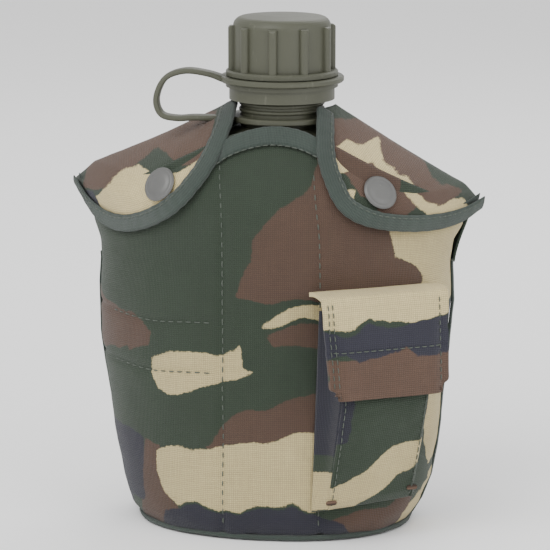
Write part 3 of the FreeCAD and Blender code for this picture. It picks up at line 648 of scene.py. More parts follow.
thread_green = Finish("thread_green", roughness=0.7, Sheen_Weight=0.1)
twist = thread_green.object().noise(2500.0, 2.0)
thread_green.feed("Base Color", twist.mix((0.035, 0.045, 0.035, 1), (0.085, 0.10, 0.08, 1)))
thread_green.bump(twist, 0.0001, 0.6)

xs = [-24 + 48 * k / 40 for k in range(41)]
edge = [on_front(x, front_top(x), -0.2) for x in xs]
inward = [(on_front(x, front_top(x) - 4) - on_front(x, front_top(x))).normalized() for x in xs]
out = [Vector((x / 60, -1, 0.35)).normalized() for x in xs]
front_arch_tape = folded_tape("front_arch_tape", edge, inward, out, 8.0, body=1.3, columns=80, seed=1.0)
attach(front_arch_tape, "cover")
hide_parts("front_edge_binding")
stitches("front_arch_stitches", [on_front(x, front_top(x) - 7.0, 1.4) for x in xs], out)

edge = [cover_back(x / 70, 166 - max(0.0, abs(x) - 12) * 0.6) for x in xs]
inward = [Vector((0, 0.35, -1)).normalized() for x in xs]
out = [Vector((0, 1, 0.4)).normalized() for x in xs]
back_arch_tape = folded_tape("back_arch_tape", edge, inward, out, 7.0, body=1.3, columns=60, seed=2.0)
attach(back_arch_tape, "cover")
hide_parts("back_edge_binding")

for side, name in ((-1, "left"), (1, "right")):
    def seam_place(u, v):
        z = 3 + 108 * v
        p = cover_front(side * 1.0, z)
        lean = (u - 0.5) * 2
        stand = 0.9 - 0.5 * lean * lean + 0.15 * grain(0, z, lean, 7, 3 + side)
        return p + Vector((side * stand, lean * 2.4, 0))

    seam, _, _ = sheet_of("%s_side_seam" % name, 6, 110, seam_place)
    face_out(seam)
    apply(seam, "SOLIDIFY", thickness=0.0009, offset=-1)
    tape.paint(seam)
    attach(seam, "cover")
    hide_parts("%s_seam_tape" % name)


def base_roll(u, v):
    """The rolled seam round the foot."""
    angle, turn = u * 2 * math.pi, v * 2 * math.pi
    left, right, depth, n, e = cover_size(2.2)
    c, s = math.cos(angle), math.sin(angle)
    bent = abs(c) ** 0.9 * (1 if c > 0 else -1)
    x = (right if c > 0 else left) * bent
    y = BEND * x * x + (1 if s > 0 else -1) * depth * (1 - min(1.0, abs(bent)) ** n) ** e
    away = Vector((bent, math.sin(angle), 0)).normalized()
    r = 1.15 + 0.12 * grain(x, y, 0, 6, 8)
    middle = Vector((x, y, 1.75 + 0.35 * grain(x, y, 0, 15, 2)))
    return middle + away * (r * math.cos(turn) - 0.3) + Vector((0, 0, r * math.sin(turn)))


base_seam, _, _ = sheet_of("base_seam", 200, 8, base_roll, closed=True)
tape.paint(base_seam)
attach(base_seam, "cover")

# ------------------------------------------------------------------ stitch lines on the front
# Two upright rows run from the arch to the foot, and two short curved rows cross the left side.
# The thread is grey-green and shows dark on the sand patches.
for k in (0, 1):
    zs = [6 + 151 * i / 90 for i in range(91)]
    line = [on_front(stitch_column(k, z) + 0.5 * grain(0, z, 0, 30, k), z, 0.1) for z in zs]
    normals = [outward(cover_front, stitch_column(k, z) / 75 * 0.64, z) for z in zs]
    stitches("front_stitches_%d" % (k + 1), line, normals, length=2.6, gap=1.4)
for which in (0, 1):
    xs2 = [-25 - 46 * i / 40 for i in range(41)]
    line = [on_front(x, side_line(x, which), 0.1) for x in xs2]
    normals = [outward(cover_front, math.asin(clamp(x / 75, -1, 1)) / (math.pi / 2), side_line(x, which))
               for x in xs2]
    stitches("side_stitches_%d" % (which + 1), line, normals, length=2.6, gap=1.4)

# ------------------------------------------------------------------ the flaps over the shoulders
# Each flap is one piece of the printed nylon, sewn across the back and pulled forwards over the
# shoulder to a curved edge bound in tape. It folds up about a line in front of the neck.
ROOF = {-1: dict(start=106, tip=(90.0, 141.5), ridge=(81.0, 149.6), top=(20.0, 178.2)),
        1: dict(start=106, tip=(83.0, 134.5), ridge=(75.5, 143.4), top=(20.0, 178.6))}
LEFT_EDGE = [(18.6, 178), (19.4, 170.2), (24.0, 157.5), (31.7, 145.8), (42.2, 135.2), (56.0, 127.6),
             (68.5, 125.2), (79.5, 129.0), (88.6, 140.0)]
RIGHT_EDGE = [(16.8, 177), (18.6, 160), (23.5, 147.2), (28.9, 139.0), (38.0, 133.2), (51.0, 129.6),
              (64.0, 128.2), (74.0, 129.4), (81.6, 133.6)]


def roof_width(side, z):
    r = ROOF[side]
    base = 79.0 if side < 0 else 72.0
    if z < r["tip"][1]:
        s = clamp((z - r["start"]) / (r["tip"][1] - r["start"]))
        return base + (r["tip"][0] - base) * s ** 1.6
    if z < r["ridge"][1]:
        return r["tip"][0] + (r["ridge"][0] - r["tip"][0]) * (z - r["tip"][1]) / (r["ridge"][1] - r["tip"][1])
    s = clamp((z - r["ridge"][1]) / (r["top"][1] - r["ridge"][1]))
    return r["ridge"][0] + (r["top"][0] - r["ridge"][0]) * s


def roof_y(side, x, z, back=False):
    w = roof_width(side, z)
    rise = clamp((z - 134) / 40)
    depth = 44.2 - 20.0 * rise ** 1.4
    flare = smooth(104, 134, z)
    n, e = 2.4 - 0.3 * flare, 0.44 + 0.36 * flare
    share = clamp(abs(x) / w)
    ridge = BEND * x * x
    y = depth * (1 - share ** n) ** e
    return ridge + (y * 0.93 if back else -y)


def ridge_z(side, x):
    """The height at which the roof comes to its ridge above x."""
    r = ROOF[side]
    (tx, tz), (rx, rz), (cx, cz) = r["tip"], r["ridge"], r["top"]
    if x > rx:
        return tz + (rz - tz) * clamp((tx - x) / (tx - rx))
    return rz + (cz - rz) * (rx - x) / (rx - cx)


def flap_cloth(side, name, outline, patches, seed):
    guide = curve_points([Vector((x, 0, z)) for x, z in outline], 60)

    def place(u, v):
        f = u * 59
        k = min(int(f), 58)
        e = guide[k].lerp(guide[k + 1], f - k)
        top_x = 22 + (ROOF[side]["tip"][0] - 0.5 - 22) * u ** 0.9
        peak = ridge_z(side, top_x)
        if v < 0.62:
            s = v / 0.62
            s2 = s ** 0.8
            x, z = e.x + (top_x - e.x) * s2, e.z + (peak - e.z) * s2
            y = roof_y(side, x, z)
            puff = 1.2 * math.sin(math.pi * min(1, s * 1.05)) * (0.6 + 0.4 * grain(x, z, 0, 20, seed))
            y -= puff
        else:
            s = (v - 0.62) / 0.38
            z = peak + (108 - peak) * s
            w = roof_width(side, z)
            share = (top_x - 3.0 * s * u) / w
            if share > 0.9:
                share = 0.9 + 0.1 * (1 - math.exp(-(share - 0.9) / 0.1))
            x = top_x + (share * w - top_x) * smooth(0.0, 0.12, s)
            y = roof_y(side, x, z, True)
        bump = 0.45 * grain(x, y, z, 16, seed) + 0.18 * grain(x, y, z, 6, seed + 3)
        droop = smooth(0.0, 0.35, v) * smooth(0.75, 0.45, v)
        z -= 1.2 * droop * math.sin(math.pi * clamp((x - 24) / 50))
        return Vector((side * x, y, z + bump * 0.8))

    o, spots, at = sheet_of(name, 84, 96, place)
    print_camouflage(o, [(p.x, p.z if v < 0.62 else 2 * ridge_z(side, abs(p.x)) - p.z + 4)
                         for (u, v), p in zip(spots, at)], patches, wander=2.4, seed=seed)
    face_out(o)
    apply(o, "SMOOTH", factor=0.5, iterations=3)
    apply(o, "SOLIDIFY", thickness=0.0012, offset=-1)
    return o, guide


# The flaps and the pocket flap are the same printed nylon as the cover, drawn 1.25 times lighter: painted
# light, a lit copy standing in for the stronger light on these pieces.
camouflage_with_painted_light = make_camouflage("camouflage_flaps", 1.25)
FLAP_PRINT = {
    -1: {"brown": [[(-84, 150), (-62, 160), (-40, 170), (-26, 174), (-26, 158), (-38, 154), (-50, 160),
                    (-62, 150), (-72, 142), (-84, 140)]],
         "sand": [[(-74, 142), (-64, 150), (-58, 152), (-48, 148), (-38, 152), (-28, 160), (-24, 150),
                   (-36, 140), (-48, 130), (-62, 126), (-76, 126), (-82, 134)],
                  [(-60, 190), (-40, 186), (-30, 196), (-50, 210)]],
         "dark": [[(-90, 136), (-80, 140), (-76, 132), (-84, 126)],
                  [(-80, 170), (-60, 178), (-64, 196), (-84, 190)]]},
    1: {"brown": [[(22, 174), (40, 170), (58, 152), (74, 140), (66, 134), (56, 142), (46, 140), (36, 144),
                   (30, 152), (24, 160)],
                  [(40, 134), (52, 134), (60, 142), (52, 150), (42, 144)]],
        "sand": [[(22, 162), (28, 166), (34, 162), (40, 163), (44, 156), (50, 150), (60, 142), (66, 138),
                  (64, 134), (54, 142), (46, 150), (40, 156), (32, 154), (24, 152)],
                 [(62, 137), (74, 138), (82, 130), (78, 124), (62, 126)],
                 [(26, 148), (34, 146), (32, 138), (26, 142)]],
        "dark": [[(44, 172), (62, 166), (66, 184), (48, 190)]]},
}
# The fold is in front of the ridge; its place and axis are read from the joints.
for joint in frame["joints"]:
    if joint["name"] == "left_flap_swing":
        left_fold = (Vector(joint["pos_m"]), Vector(joint["axis"]))
    if joint["name"] == "right_flap_swing":
        right_fold = (Vector(joint["pos_m"]), Vector(joint["axis"]))


def hang(o, side):
    """Works out a downward direction at the fold, which nothing uses, and bakes the piece's transform into
    its mesh.
    """
    pos, axis = left_fold if side < 0 else right_fold
    down = axis.cross(Vector((0, 0, 1))).normalized()
    if down.y > 0:
        down = -down
    down = (down + Vector((0, 0, -0.8))).normalized()
    down = (down - axis * down.dot(axis)).normalized()
    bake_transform(o)


for side, name, outline in ((-1, "left", LEFT_EDGE), (1, "right", RIGHT_EDGE)):
    cloth, guide = flap_cloth(side, "%s_flap_cloth" % name, outline, FLAP_PRINT[side], 11.0 + side)
    # The flap cloth takes the lighter copy of the camouflage, which is painted light.
    camouflage_with_painted_light.paint(cloth)
    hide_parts("%s_shoulder" % name, "%s_flap" % name)
    edge = [Vector((side * p.x, roof_y(side, p.x, p.z), p.z)) for p in guide]
    inward, out = [], []
    for k in range(60):
        a, b = edge[max(0, k - 1)], edge[min(59, k + 1)]
        along = (b - a).normalized()
        top_x = 22 + (ROOF[side]["tip"][0] - 0.5 - 22) * (k / 59) ** 0.9
        g = guide[k]
        x2, z2 = g.x + (top_x - g.x) * 0.12, g.z + (ridge_z(side, top_x) - g.z) * 0.12
        up = Vector((side * x2, roof_y(side, x2, z2), z2)) - edge[k]
        n = along.cross(up).normalized()
        if n.y > 0:
            n = -n
        i = n.cross(along).normalized()
        if i.dot(up) < 0:
            i = -i
        inward.append(i)
        out.append(n)
    bound = folded_tape("%s_flap_tape" % name, edge, inward, out, 6.4, thick=0.95, body=1.0, columns=150,
                        seed=3.0 + side)
    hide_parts("%s_flap_binding" % name)
    seam_line = [p + i * 5.0 + n * 1.55 for p, i, n in zip(edge, inward, out)]
    sewn = stitches("%s_flap_stitches" % name, seam_line, out, body=None)
    for o in (cloth, bound, sewn):
        hang(o, side)

# ------------------------------------------------------------------ pile lining
# Grey acrylic pile backs the whole cover and keeps the flask from rattling. Each half is a soft
# quilted layer that follows the panel outside it.
pile = Finish("pile", roughness=1.0, Sheen_Weight=0.4)
tuft = pile.object().noise(600.0, 4.0, 0.7)
pile.feed("Base Color", tuft.mix((0.05, 0.055, 0.045, 1), (0.16, 0.165, 0.13, 1)))
pile.bump(tuft, 0.002, 1.0)


def lining_place(shell, limit):
    def place(u, v):
        t = (u * 2 - 1) * 0.985
        x = math.sin(t * math.pi / 2) * 70
        z = 4.0 + (limit(x) - 4.0) * v
        p = shell(t, z)
        push = -2.4 + 0.6 * grain(p.x, p.y, z, 18, 91) + 0.35 * grain(p.x, p.y, z, 5, 93)
        return p + outward(shell, t, z) * push
    return place


for name, shell, limit in (("front", cover_front, lambda x: min(front_top(x) - 3, 140.0)),
                           ("back", cover_back, lambda x: min(160 - abs(x) * 0.6, 140.0))):
    lining, _, _ = sheet_of("%s_pile_lining" % name, 90, 80, lining_place(shell, limit))
    face_out(lining)
    apply(lining, "SOLIDIFY", thickness=0.0018, offset=-1)
    pile.paint(lining)
    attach(lining, "cover")
    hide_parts("%s_pile_liner" % name)

# ------------------------------------------------------------------ flask, cap and retainer
# Olive polyethylene, blow-moulded for the flask and injection-moulded for the cap and retainer.
# The surface is satin with a faint orange peel, lighter where it has been rubbed.
olive = Finish("olive_plastic", roughness=0.5, Specular_IOR_Level=0.45)
spot = olive.object()
peel, cloud = spot.noise(900.0, 2.0), spot.noise(45.0, 4.0)
scuff = spot.stretch(1, 1, 0.25).noise(260.0, 5.0, 0.7)
marks = scuff.ramp(0.60, 0.74)
colour = cloud.mix((0.046, 0.048, 0.031, 1), (0.064, 0.066, 0.043, 1))
olive.feed("Base Color", (marks * 0.45).mix(colour, (0.15, 0.15, 0.115, 1)))
olive.feed("Roughness", 0.44 + cloud * 0.14 + marks * 0.15)
olive.bump(peel * 0.6 + scuff * 0.5, 0.00012, 0.5)
olive.paint(*[frame["nodes"][n] for n in ("flask", "screw_cap", "retainer_cap_ring", "retainer_neck_ring")])
gasket = Finish("rubber_gasket", roughness=0.75)
gasket.feed("Base Color", gasket.object().noise(300.0).mix((0.02, 0.02, 0.02, 1), (0.035, 0.035, 0.035, 1)))
gasket.paint(frame["nodes"]["cap_gasket"])

# The strap is moulded in one with both rings: a flat bar that leaves the cap's ring, loops out
# to the side and comes back to the ring on the neck.
cap_ring_low, cap_ring_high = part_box("retainer_cap_ring")
neck_ring_low, neck_ring_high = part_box("retainer_neck_ring")
cap_ring_z = (cap_ring_low.z + cap_ring_high.z) / 2 / MM
neck_ring_z = (neck_ring_low.z + neck_ring_high.z) / 2 / MM
route = [Vector(p) for p in (
    (-23.5, -5, cap_ring_z), (-30, -7, cap_ring_z + 2.4), (-39, -9, cap_ring_z + 3.6),
    (-47, -10.5, cap_ring_z + 0.6), (-50.6, -11.5, cap_ring_z - 7.5), (-48.5, -12, cap_ring_z - 14),
    (-42, -11.5, neck_ring_z + 0.4), (-35, -10, neck_ring_z + 0.6), (-27, -8, neck_ring_z + 0.2),
    (-20.5, -6, neck_ring_z))]
path = curve_points(route, 70)


def strap_place(u, v):
    f = u * 69
    k = min(int(f), 68)
    p = path[k].lerp(path[k + 1], f - k)
    along = (path[min(69, k + 1)] - path[max(0, k - 1)]).normalized()
    flat = Vector((0.12, 1, 0.10))
    flat = (flat - along * flat.dot(along)).normalized()
    thin = along.cross(flat).normalized()
    angle = v * 2 * math.pi
    c, s = math.cos(angle), math.sin(angle)
    square = (abs(c) ** 4 + abs(s) ** 4) ** -0.25
    end = smooth(0.0, 0.08, u) * smooth(1.0, 0.92, u)
    return p + flat * (c * square * (3.2 - 0.8 * end)) + thin * (s * square * 1.15)


retainer_loop, _, _ = sheet_of("retainer_loop", 90, 20, strap_place, closed=True)
olive.paint(retainer_loop)
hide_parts("retainer_strap")
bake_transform(retainer_loop)

# ------------------------------------------------------------------ snap fasteners
# Pressed brass, enamelled grey outside: a domed cap with a rolled rim on each flap, its socket
# behind it, and the stud and its post through the front panel.
enamel = Finish("grey_enamel", roughness=0.42, Metallic=0.35, Specular_IOR_Level=0.5)
spot = enamel.object()
chips = spot.noise(700.0, 5.0, 0.75).ramp(0.66, 0.72)
grey = spot.noise(120.0).mix((0.095, 0.095, 0.092, 1), (0.135, 0.135, 0.13, 1))
enamel.feed("Base Color", chips.mix(grey, (0.24, 0.235, 0.22, 1)))
enamel.feed("Roughness", 0.36 + spot.noise(200.0) * 0.25)
enamel.bump(spot.noise(400.0, 3.0), 0.0001, 0.4)
for side, name in ((-1, "left"), (1, "right")):
    low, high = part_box("%s_snap_cap" % name)
    middle = (low + high) / 2
    x = abs(middle.x / MM)
    z = middle.z / MM
    centre = Vector((side * x, roof_y(side, x, z) - 1.6, z))
    a = (Vector((side * (x + 3), roof_y(side, x + 3, z), z))
         - Vector((side * (x - 3), roof_y(side, x - 3, z), z)))
    b = (Vector((side * x, roof_y(side, x, z + 3), z + 3))
         - Vector((side * x, roof_y(side, x, z - 3), z - 3)))
    n = a.cross(b).normalized()
    if n.y > 0:
        n = -n
    bpy.ops.object.select_all(action="DESELECT")
    bpy.ops.mesh.primitive_uv_sphere_add(segments=48, ring_count=24, radius=1.0)
    o = bpy.context.object
    o.name = "%s_snap_button" % name
    for vert in o.data.vertices:
        c = vert.co
        r = math.hypot(c.x, c.y)
        h = 0.9 * c.z
        rim = 7.35 * r
        if c.z > 0:
            h = 1.15 * (1 - r ** 5) + 0.35 * (1 - r * r)
            h += 0.42 * math.exp(-((rim - 6.5) / 0.55) ** 2) - 0.3 * math.exp(-((rim - 5.4) / 0.5) ** 2)
        vert.co = Vector((c.x * 7.35, c.y * 7.35, h))
    turn = Vector((0, 0, 1)).rotation_difference(n).to_matrix().to_4x4()
    o.data.transform(Matrix.Scale(MM, 4) @ Matrix.Translation(centre) @ turn)
    bpy.ops.object.shade_smooth()
    enamel.paint(o)
    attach(o, "%s_flap" % name)
    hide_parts("%s_snap_cap" % name)
    enamel.paint(*[frame["nodes"]["%s_snap_%s" % (name, part)] for part in ("socket", "stud", "post")])

# ------------------------------------------------------------------ the front pocket
# A small bellows pocket for tablets: a gusset folded once down each side, a front panel, and a
# stiff doubled flap that closes on hook-and-loop tape. Bar tacks hold the lower corners.
POCKET_TURN = math.radians(28)
POCKET_X = 41.5
pocket_origin = Vector((POCKET_X, front_y(POCKET_X, 60), 0))


def in_pocket(x, outwards, z):
    """A point in the pocket's own frame: x across it, outwards from the cover, z up."""
    c, s = math.cos(POCKET_TURN), math.sin(POCKET_TURN)
    return pocket_origin + Vector((c * x + s * outwards, s * x - c * outwards, z))


def pocket_reach(z):
    """How far the pocket's face stands off the cover."""
    return between([(16, 4.2), (22, 5.6), (40, 9.0), (62, 12.4), (80, 10.2), (98, 8.0)], z)


def pocket_middle(z):
    """Where the middle of the face lies across the pocket: it leans a little at the foot."""
    return -3.4 + 3.6 * clamp((z - 16) / 46)


POCKET_LOW, POCKET_HIGH = 16.5, 98.0


def pocket_face(u, v):
    z = POCKET_LOW + (POCKET_HIGH - POCKET_LOW) * v + 2.4 * (1 - v) * (u - 0.3)
    x = pocket_middle(z) + (u * 2 - 1) * (18.7 + 1.2 * v)
    belly = 1.4 * math.sin(math.pi * u) * smooth(0, 0.25, v)
    crease = 0.5 * grain(x, z, 0, 10, 21) + 0.25 * grain(x, z, 0, 4, 22)
    turned = -1.2 * smooth(0.94, 1.0, abs(u * 2 - 1)) - 1.5 * smooth(0.05, 0.0, v)
    return in_pocket(x, pocket_reach(z) + belly + crease + turned, z)


def pocket_side(side):
    def place(u, v):
        s = u if side > 0 else 1 - u
        z = POCKET_LOW + (POCKET_HIGH - POCKET_LOW) * v
        z += 2.4 * (1 - v) * ((0.5 + side * 0.5) - 0.3) - 2.0 * s * (1 - v)
        face = pocket_middle(z) + side * (18.7 + 1.2 * v)
        base = -26.0 + 3.2 * v if side < 0 else 24.5
        x = face + (base - face) * s
        fold = -2.4 * math.sin(math.pi * s) * smooth(0, 0.3, v)
        crease = 0.5 * grain(z, s * 8, 0, 9, 30 + side)
        reach = pocket_reach(z) * (1 - s) * (1 - 0.15 * math.sin(math.pi * s)) - 1.2 * (1 - s) - 3.6 * s
        if side > 0:
            reach -= 9.0 * s
        return in_pocket(x + side * (fold * 0.5 + crease * 0.4), reach + crease, z)
    return place


POCKET_PRINT = {
    "sand": [[(-24, 20), (-18, 23), (-8, 30), (8, 37), (24, 41), (24, 31), (14, 26), (3, 20), (-8, 12),
              (-24, 4)]],
    "dark": [[(-26, 62), (-14, 60), (-16, 44), (-26, 42)]],
}
pocket_front_cloth, spots, at = sheet_of("pocket_front_cloth", 40, 70, pocket_face)
print_camouflage(pocket_front_cloth, [((u * 2 - 1) * 20, 12 + 84 * v) for u, v in spots], POCKET_PRINT,
                 seed=50.0)
face_out(pocket_front_cloth)
apply(pocket_front_cloth, "SOLIDIFY", thickness=0.0012, offset=-1)
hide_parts("pocket_front")
gussets = []
for side, name in ((-1, "left"), (1, "right")):
    o, spots, at = sheet_of("pocket_gusset_%s" % name, 14, 70, pocket_side(side))
    # On both gussets the dark patch over the upper part is painted shadow: the navy print colour stands in
    # for the shade inside the pocket's side folds.
    print_camouflage(o, [(side * 24, 12 + 84 * v) for u, v in spots],
                     {"dark": [[(-40, 100), (40, 100), (40, 34), (-40, 38)]],
                      "sand": [[(-40, 30), (0, 28), (0, 14), (-40, 12)]],
                      "brown": [[(0, 60), (40, 60), (40, 30), (0, 30)]]}, seed=60.0 + side)
    face_out(o, tuple(in_pocket(0, 2, 50) * MM))
    apply(o, "SOLIDIFY", thickness=0.0012, offset=-1)
    gussets.append(o)
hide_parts("pocket_gusset")
camouflage.paint(pocket_front_cloth, *gussets)
for o, flat, area in ((pocket_front_cloth, (0.042, 0.084), 0.00335), (gussets[0], (0.0165, 0.084), 0.00119),
                      (gussets[1], (0.0245, 0.082), 0.00190)):
    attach(o, "cover")

# The flap's lower and upper edge, half its width, and the height of the stitches across it.
FLAP_LOW, FLAP_HIGH, FLAP_HALF, FLAP_MIDDLE = 64.8, 106.2, 27.6, 84.0


def pocket_flap_place(u, v):
    """The flap: v runs from the seam on the cover, over the fold and down to the free edge."""
    s = u * 2 - 1
    if v < 0.16:
        a = v / 0.16
        outwards, z, a = -3.0 + 14.4 * a, FLAP_HIGH + 0.9 * math.sin(math.pi * a), 0.0
    else:
        a = (v - 0.16) / 0.84
        outwards = 11.4 + 1.2 * math.sin(min(1, a * 5) * math.pi / 2) + 5.0 * a
        z = FLAP_HIGH - 0.2 - (FLAP_HIGH - FLAP_LOW) * a
    x = s * FLAP_HALF + (2.4 * a if s < 0 else 0.8 * a) * -s
    corner = 3.2 * smooth(0.88, 1.0, v) * smooth(0.84, 1.0, abs(s)) ** 2
    x -= corner * (1 if s > 0 else -1)
    z += corner * 0.6
    curl = -1.6 * smooth(0.7, 1.0, abs(s)) * smooth(0.1, 0.5, v)
    wave = 0.5 * grain(x, z, 0, 18, 71) + 0.2 * grain(x, z, 0, 6, 72)
    seam = groove(z - FLAP_MIDDLE, 1.0, 0.5) + groove(abs(x) - 23.5, 1.0, 0.45) * (v > 0.16)
    return in_pocket(x, outwards + curl + wave + seam, z)


pocket_flap_cloth, spots, at = sheet_of("pocket_flap_cloth", 64, 80, pocket_flap_place)
print_camouflage(pocket_flap_cloth, [((u * 2 - 1) * FLAP_HALF, at_.z) for (u, v), at_ in zip(spots, at)], {
    "brown": [[(-28, 82), (-10, 81), (0, 84), (6, 88), (10, 82), (28, 82), (28, 56), (-28, 56)]],
    "dark": [[(-28, 92), (-18, 90), (-8, 95), (4, 92), (14, 94), (28, 96), (28, 81), (12, 80), (8, 84),
              (0, 82), (-14, 80), (-20, 84), (-28, 82)]],
    "sand": [[(-30, 110), (30, 110), (30, 97), (20, 95), (12, 93.5), (2, 95), (-8, 97), (-18, 92),
              (-30, 93)]]}, wander=1.6, seed=70.0)
face_out(pocket_flap_cloth, tuple(in_pocket(0, 0, 80) * MM))
apply(pocket_flap_cloth, "SOLIDIFY", thickness=0.0018, offset=-1)
apply(pocket_flap_cloth, "BEVEL", width=0.0005, segments=2, limit_method="ANGLE")
# The pocket flap takes the lighter copy of the camouflage too, which is painted light.
camouflage_with_painted_light.paint(pocket_flap_cloth)
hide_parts("pocket_flap")
fold_out = Vector((math.sin(POCKET_TURN), -math.cos(POCKET_TURN), 0))
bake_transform(pocket_flap_cloth)


def flap_point(x, z, lift):
    a = (FLAP_HIGH - 0.2 - z) / (FLAP_HIGH - FLAP_LOW)
    s = x / FLAP_HALF
    v = 0.16 + 0.84 * a
    p = pocket_flap_place((s + 1) / 2, v)
    return p + fold_out * lift


flap_out = [fold_out] * 60
rows = [("pocket_flap_stitches_1", [flap_point(-25 + 50 * k / 59, FLAP_MIDDLE, 0.1) for k in range(60)]),
        ("pocket_flap_stitches_2", [flap_point(-23.6, 104 - 37 * k / 59, 0.1) for k in range(60)]),
        ("pocket_flap_stitches_3", [flap_point(23.6, 104 - 37 * k / 59, 0.1) for k in range(60)]),
        ("pocket_flap_stitches_4", [flap_point(-25.6, 104 - 37 * k / 59, 0.1) for k in range(60)])]
for name, line in rows:
    stitches(name, line, flap_out, length=2.2, gap=1.0, radius=0.24, body="pocket_flap")
for side in (-1, 1):
    line = [pocket_face(0.5 + side * 0.46, 0.02 + 0.6 * k / 59) + fold_out * 0.2 for k in range(60)]
    word = "left" if side < 0 else "right"
    stitches("pocket_edge_stitches_%s" % word, line, flap_out, length=2.2, gap=1.0, radius=0.24)

hooks = Finish("hook_and_loop", roughness=0.95)
bristle = hooks.object().noise(2200.0, 2.0)
hooks.feed("Base Color", bristle.mix((0.03, 0.035, 0.028, 1), (0.10, 0.11, 0.085, 1)))
hooks.bump(bristle, 0.0008, 1.0)
loop_patch, _, _ = sheet_of("pocket_loop_patch", 36, 20, lambda u, v: (
    pocket_face(0.08 + 0.84 * u, 0.61 + 0.19 * v) + fold_out * (1.2 + 0.25 * grain(u * 30, v * 14, 0, 2, 5))))
hook_patch, _, _ = sheet_of("pocket_hook_patch", 36, 20, lambda u, v: (
    flap_point(-17 + 34 * u, 66.5 + 15 * v, -2.9 + 0.2 * grain(u * 30, v * 14, 0, 2, 9))))
for patch, node, body in ((loop_patch, "pocket_loop_tape", "cover"),
                          (hook_patch, "pocket_hook_tape", "pocket_flap")):
    face_out(patch, tuple(in_pocket(0, 0, 74) * MM))
    apply(patch, "SOLIDIFY", thickness=0.0010, offset=-1)
    hooks.paint(patch)
    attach(patch, body)
    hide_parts(node)

# The bar tacks are close rows of brown thread.
tack = Finish("bar_tack_thread", roughness=0.7)
ridge = (tack.object().xyz()[2] * 2600.0).math("SINE")
tack.feed("Base Color", (ridge * 0.5 + 0.5).mix((0.05, 0.03, 0.02, 1), (0.15, 0.09, 0.06, 1)))
tack.bump(ridge, 0.0003, 1.0)
fold_across = Vector((math.cos(POCKET_TURN), math.sin(POCKET_TURN), 0))
for name, u0, v0 in (("left", 0.03, 0.045), ("right", 0.97, 0.06)):
    spot = pocket_face(u0, v0) + fold_out * 0.3

    def tack_place(u, v):
        angle = v * 2 * math.pi
        body = 1 + 0.2 * math.sin(u * 2 * math.pi * 12) - 0.6 * abs(u * 2 - 1) ** 6
        return (spot + fold_across * ((u - 0.5) * 4.6) + Vector((0, 0, math.cos(angle) * 0.95 * body))
                + fold_out * (math.sin(angle) * 0.6 * body))

    bar, _, _ = sheet_of("pocket_bar_tack_%s" % name, 96, 12, tack_place, closed=True)
    tack.paint(bar)
    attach(bar, "cover")
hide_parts("pocket_bar_tacks")

# ------------------------------------------------------------------ belt clips and webbing
# Two strips of ribbed webbing on the back carry the belt clips: folded strips of black
# phosphated steel, each with a sliding keeper that locks its lower end. The webbing takes its
# route from its solid and gets soft edges.
webbing = Finish("webbing", roughness=0.9, Sheen_Weight=0.1)
x, y, z = webbing.object().xyz()
cord = (z * (math.pi / 0.0009)).math("SINE").math("ABSOLUTE")
row = (x * (math.pi / 0.0016)).math("SINE").math("ABSOLUTE")
webbing.feed("Base Color", (cord * 0.6 + row * 0.4).mix((0.018, 0.024, 0.014, 1), (0.065, 0.08, 0.05, 1)))
webbing.bump(cord + row * 0.5, 0.0003, 1.0)
steel = Finish("black_steel", roughness=0.42, Metallic=0.7)
spot = steel.object()
rub = spot.noise(500.0, 5.0, 0.8).ramp(0.62, 0.75)
black = spot.noise(90.0).mix((0.015, 0.016, 0.015, 1), (0.035, 0.036, 0.034, 1))
steel.feed("Base Color", rub.mix(black, (0.18, 0.17, 0.16, 1)))
steel.feed("Roughness", 0.38 + spot.noise(300.0) * 0.25)
steel.bump(spot.noise(800.0, 3.0), 0.00008, 0.5)
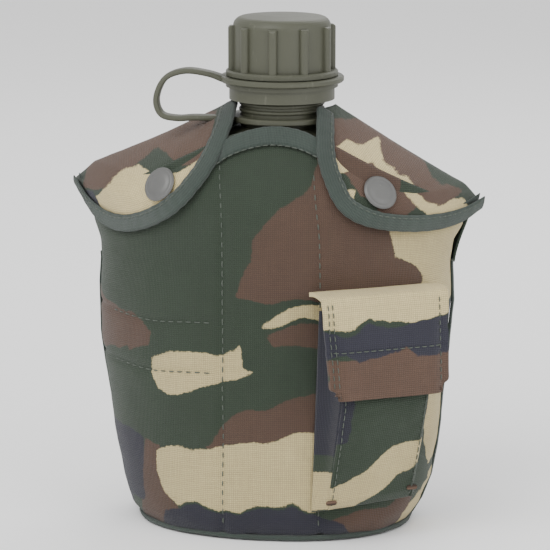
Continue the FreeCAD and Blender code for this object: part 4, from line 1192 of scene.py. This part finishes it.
for name in ("left", "right"):
    solid = frame["nodes"]["%s_back_webbing" % name]
    only(solid)
    bpy.ops.object.duplicate()
    strap = bpy.context.object
    strap.name = "%s_webbing_strap" % name
    apply(strap, "REMESH", mode="VOXEL", voxel_size=0.0007)
    apply(strap, "SMOOTH", factor=0.5, iterations=4)
    for vert in strap.data.vertices:
        c = vert.co / MM
        rise = 0.16 * grain(c.x, c.y, c.z, 7, 31) + 0.08 * grain(c.x, c.y, c.z, 2, 37)
        vert.co = vert.co + vert.normal * MM * rise
    bpy.ops.object.shade_smooth()
    webbing.paint(strap)
    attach(strap, "cover")
    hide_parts(solid.name)
    steel.paint(frame["nodes"]["%s_belt_clip" % name], frame["nodes"]["%s_clip_slider" % name])
brass = Finish("eyelet_brass", roughness=0.4, Metallic=1.0)
brass.feed("Base Color", brass.object().noise(400.0, 4.0).mix((0.03, 0.027, 0.02, 1), (0.12, 0.10, 0.06, 1)))
brass.paint(frame["nodes"]["cover_drain_eyelet"])

# ------------------------------------------------------------------ floor, light and camera
# A pale seamless table, one large soft light above and two weaker ones at the sides.
bpy.ops.object.select_all(action="DESELECT")
bpy.ops.mesh.primitive_plane_add(size=12, location=(0, 0, 0))
floor = bpy.context.object
floor.name = "floor"
paper = Finish("paper", roughness=0.9)
paper.feed("Base Color", (0.93, 0.93, 0.93, 1))
paper.paint(floor)
floor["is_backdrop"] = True
world = bpy.data.worlds.new("studio")
world.use_nodes = True
world.node_tree.nodes["Background"].inputs["Color"].default_value = (1.0, 1.0, 1.0, 1)
world.node_tree.nodes["Background"].inputs["Strength"].default_value = 1.16
bpy.context.scene.world = world
for name, place, size, power in (("key", (-0.5, -0.9, 1.1), 0.9, 13), ("fill", (1.0, -0.8, 0.6), 0.9, 6),
                                 ("rim", (0.2, 0.9, 1.0), 0.8, 5)):
    light = bpy.data.lights.new(name, "AREA")
    light.size, light.energy = size, power
    lamp = bpy.data.objects.new(name, light)
    lamp.location = place
    lamp.rotation_euler = (Vector((0, 0, 0.1)) - Vector(place)).to_track_quat("-Z", "Y").to_euler()
    bpy.context.scene.collection.objects.link(lamp)
camera = bpy.data.objects.new("camera", bpy.data.cameras.new("camera"))
bpy.context.scene.collection.objects.link(camera)
azimuth, distance, height = math.radians(6.5), 1.25, 0.355
camera.location = (math.sin(azimuth) * distance, -math.cos(azimuth) * distance, height)
target = Vector((-0.0029, 0, 0.1045))
camera.rotation_euler = (target - camera.location).to_track_quat("-Z", "Y").to_euler()
camera.data.sensor_width = 36
camera.data.lens = 36 * (target - camera.location).length / 0.230
bpy.context.scene.camera = camera

# The bounds of everything that is shown, apart from the backdrop.
low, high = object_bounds()
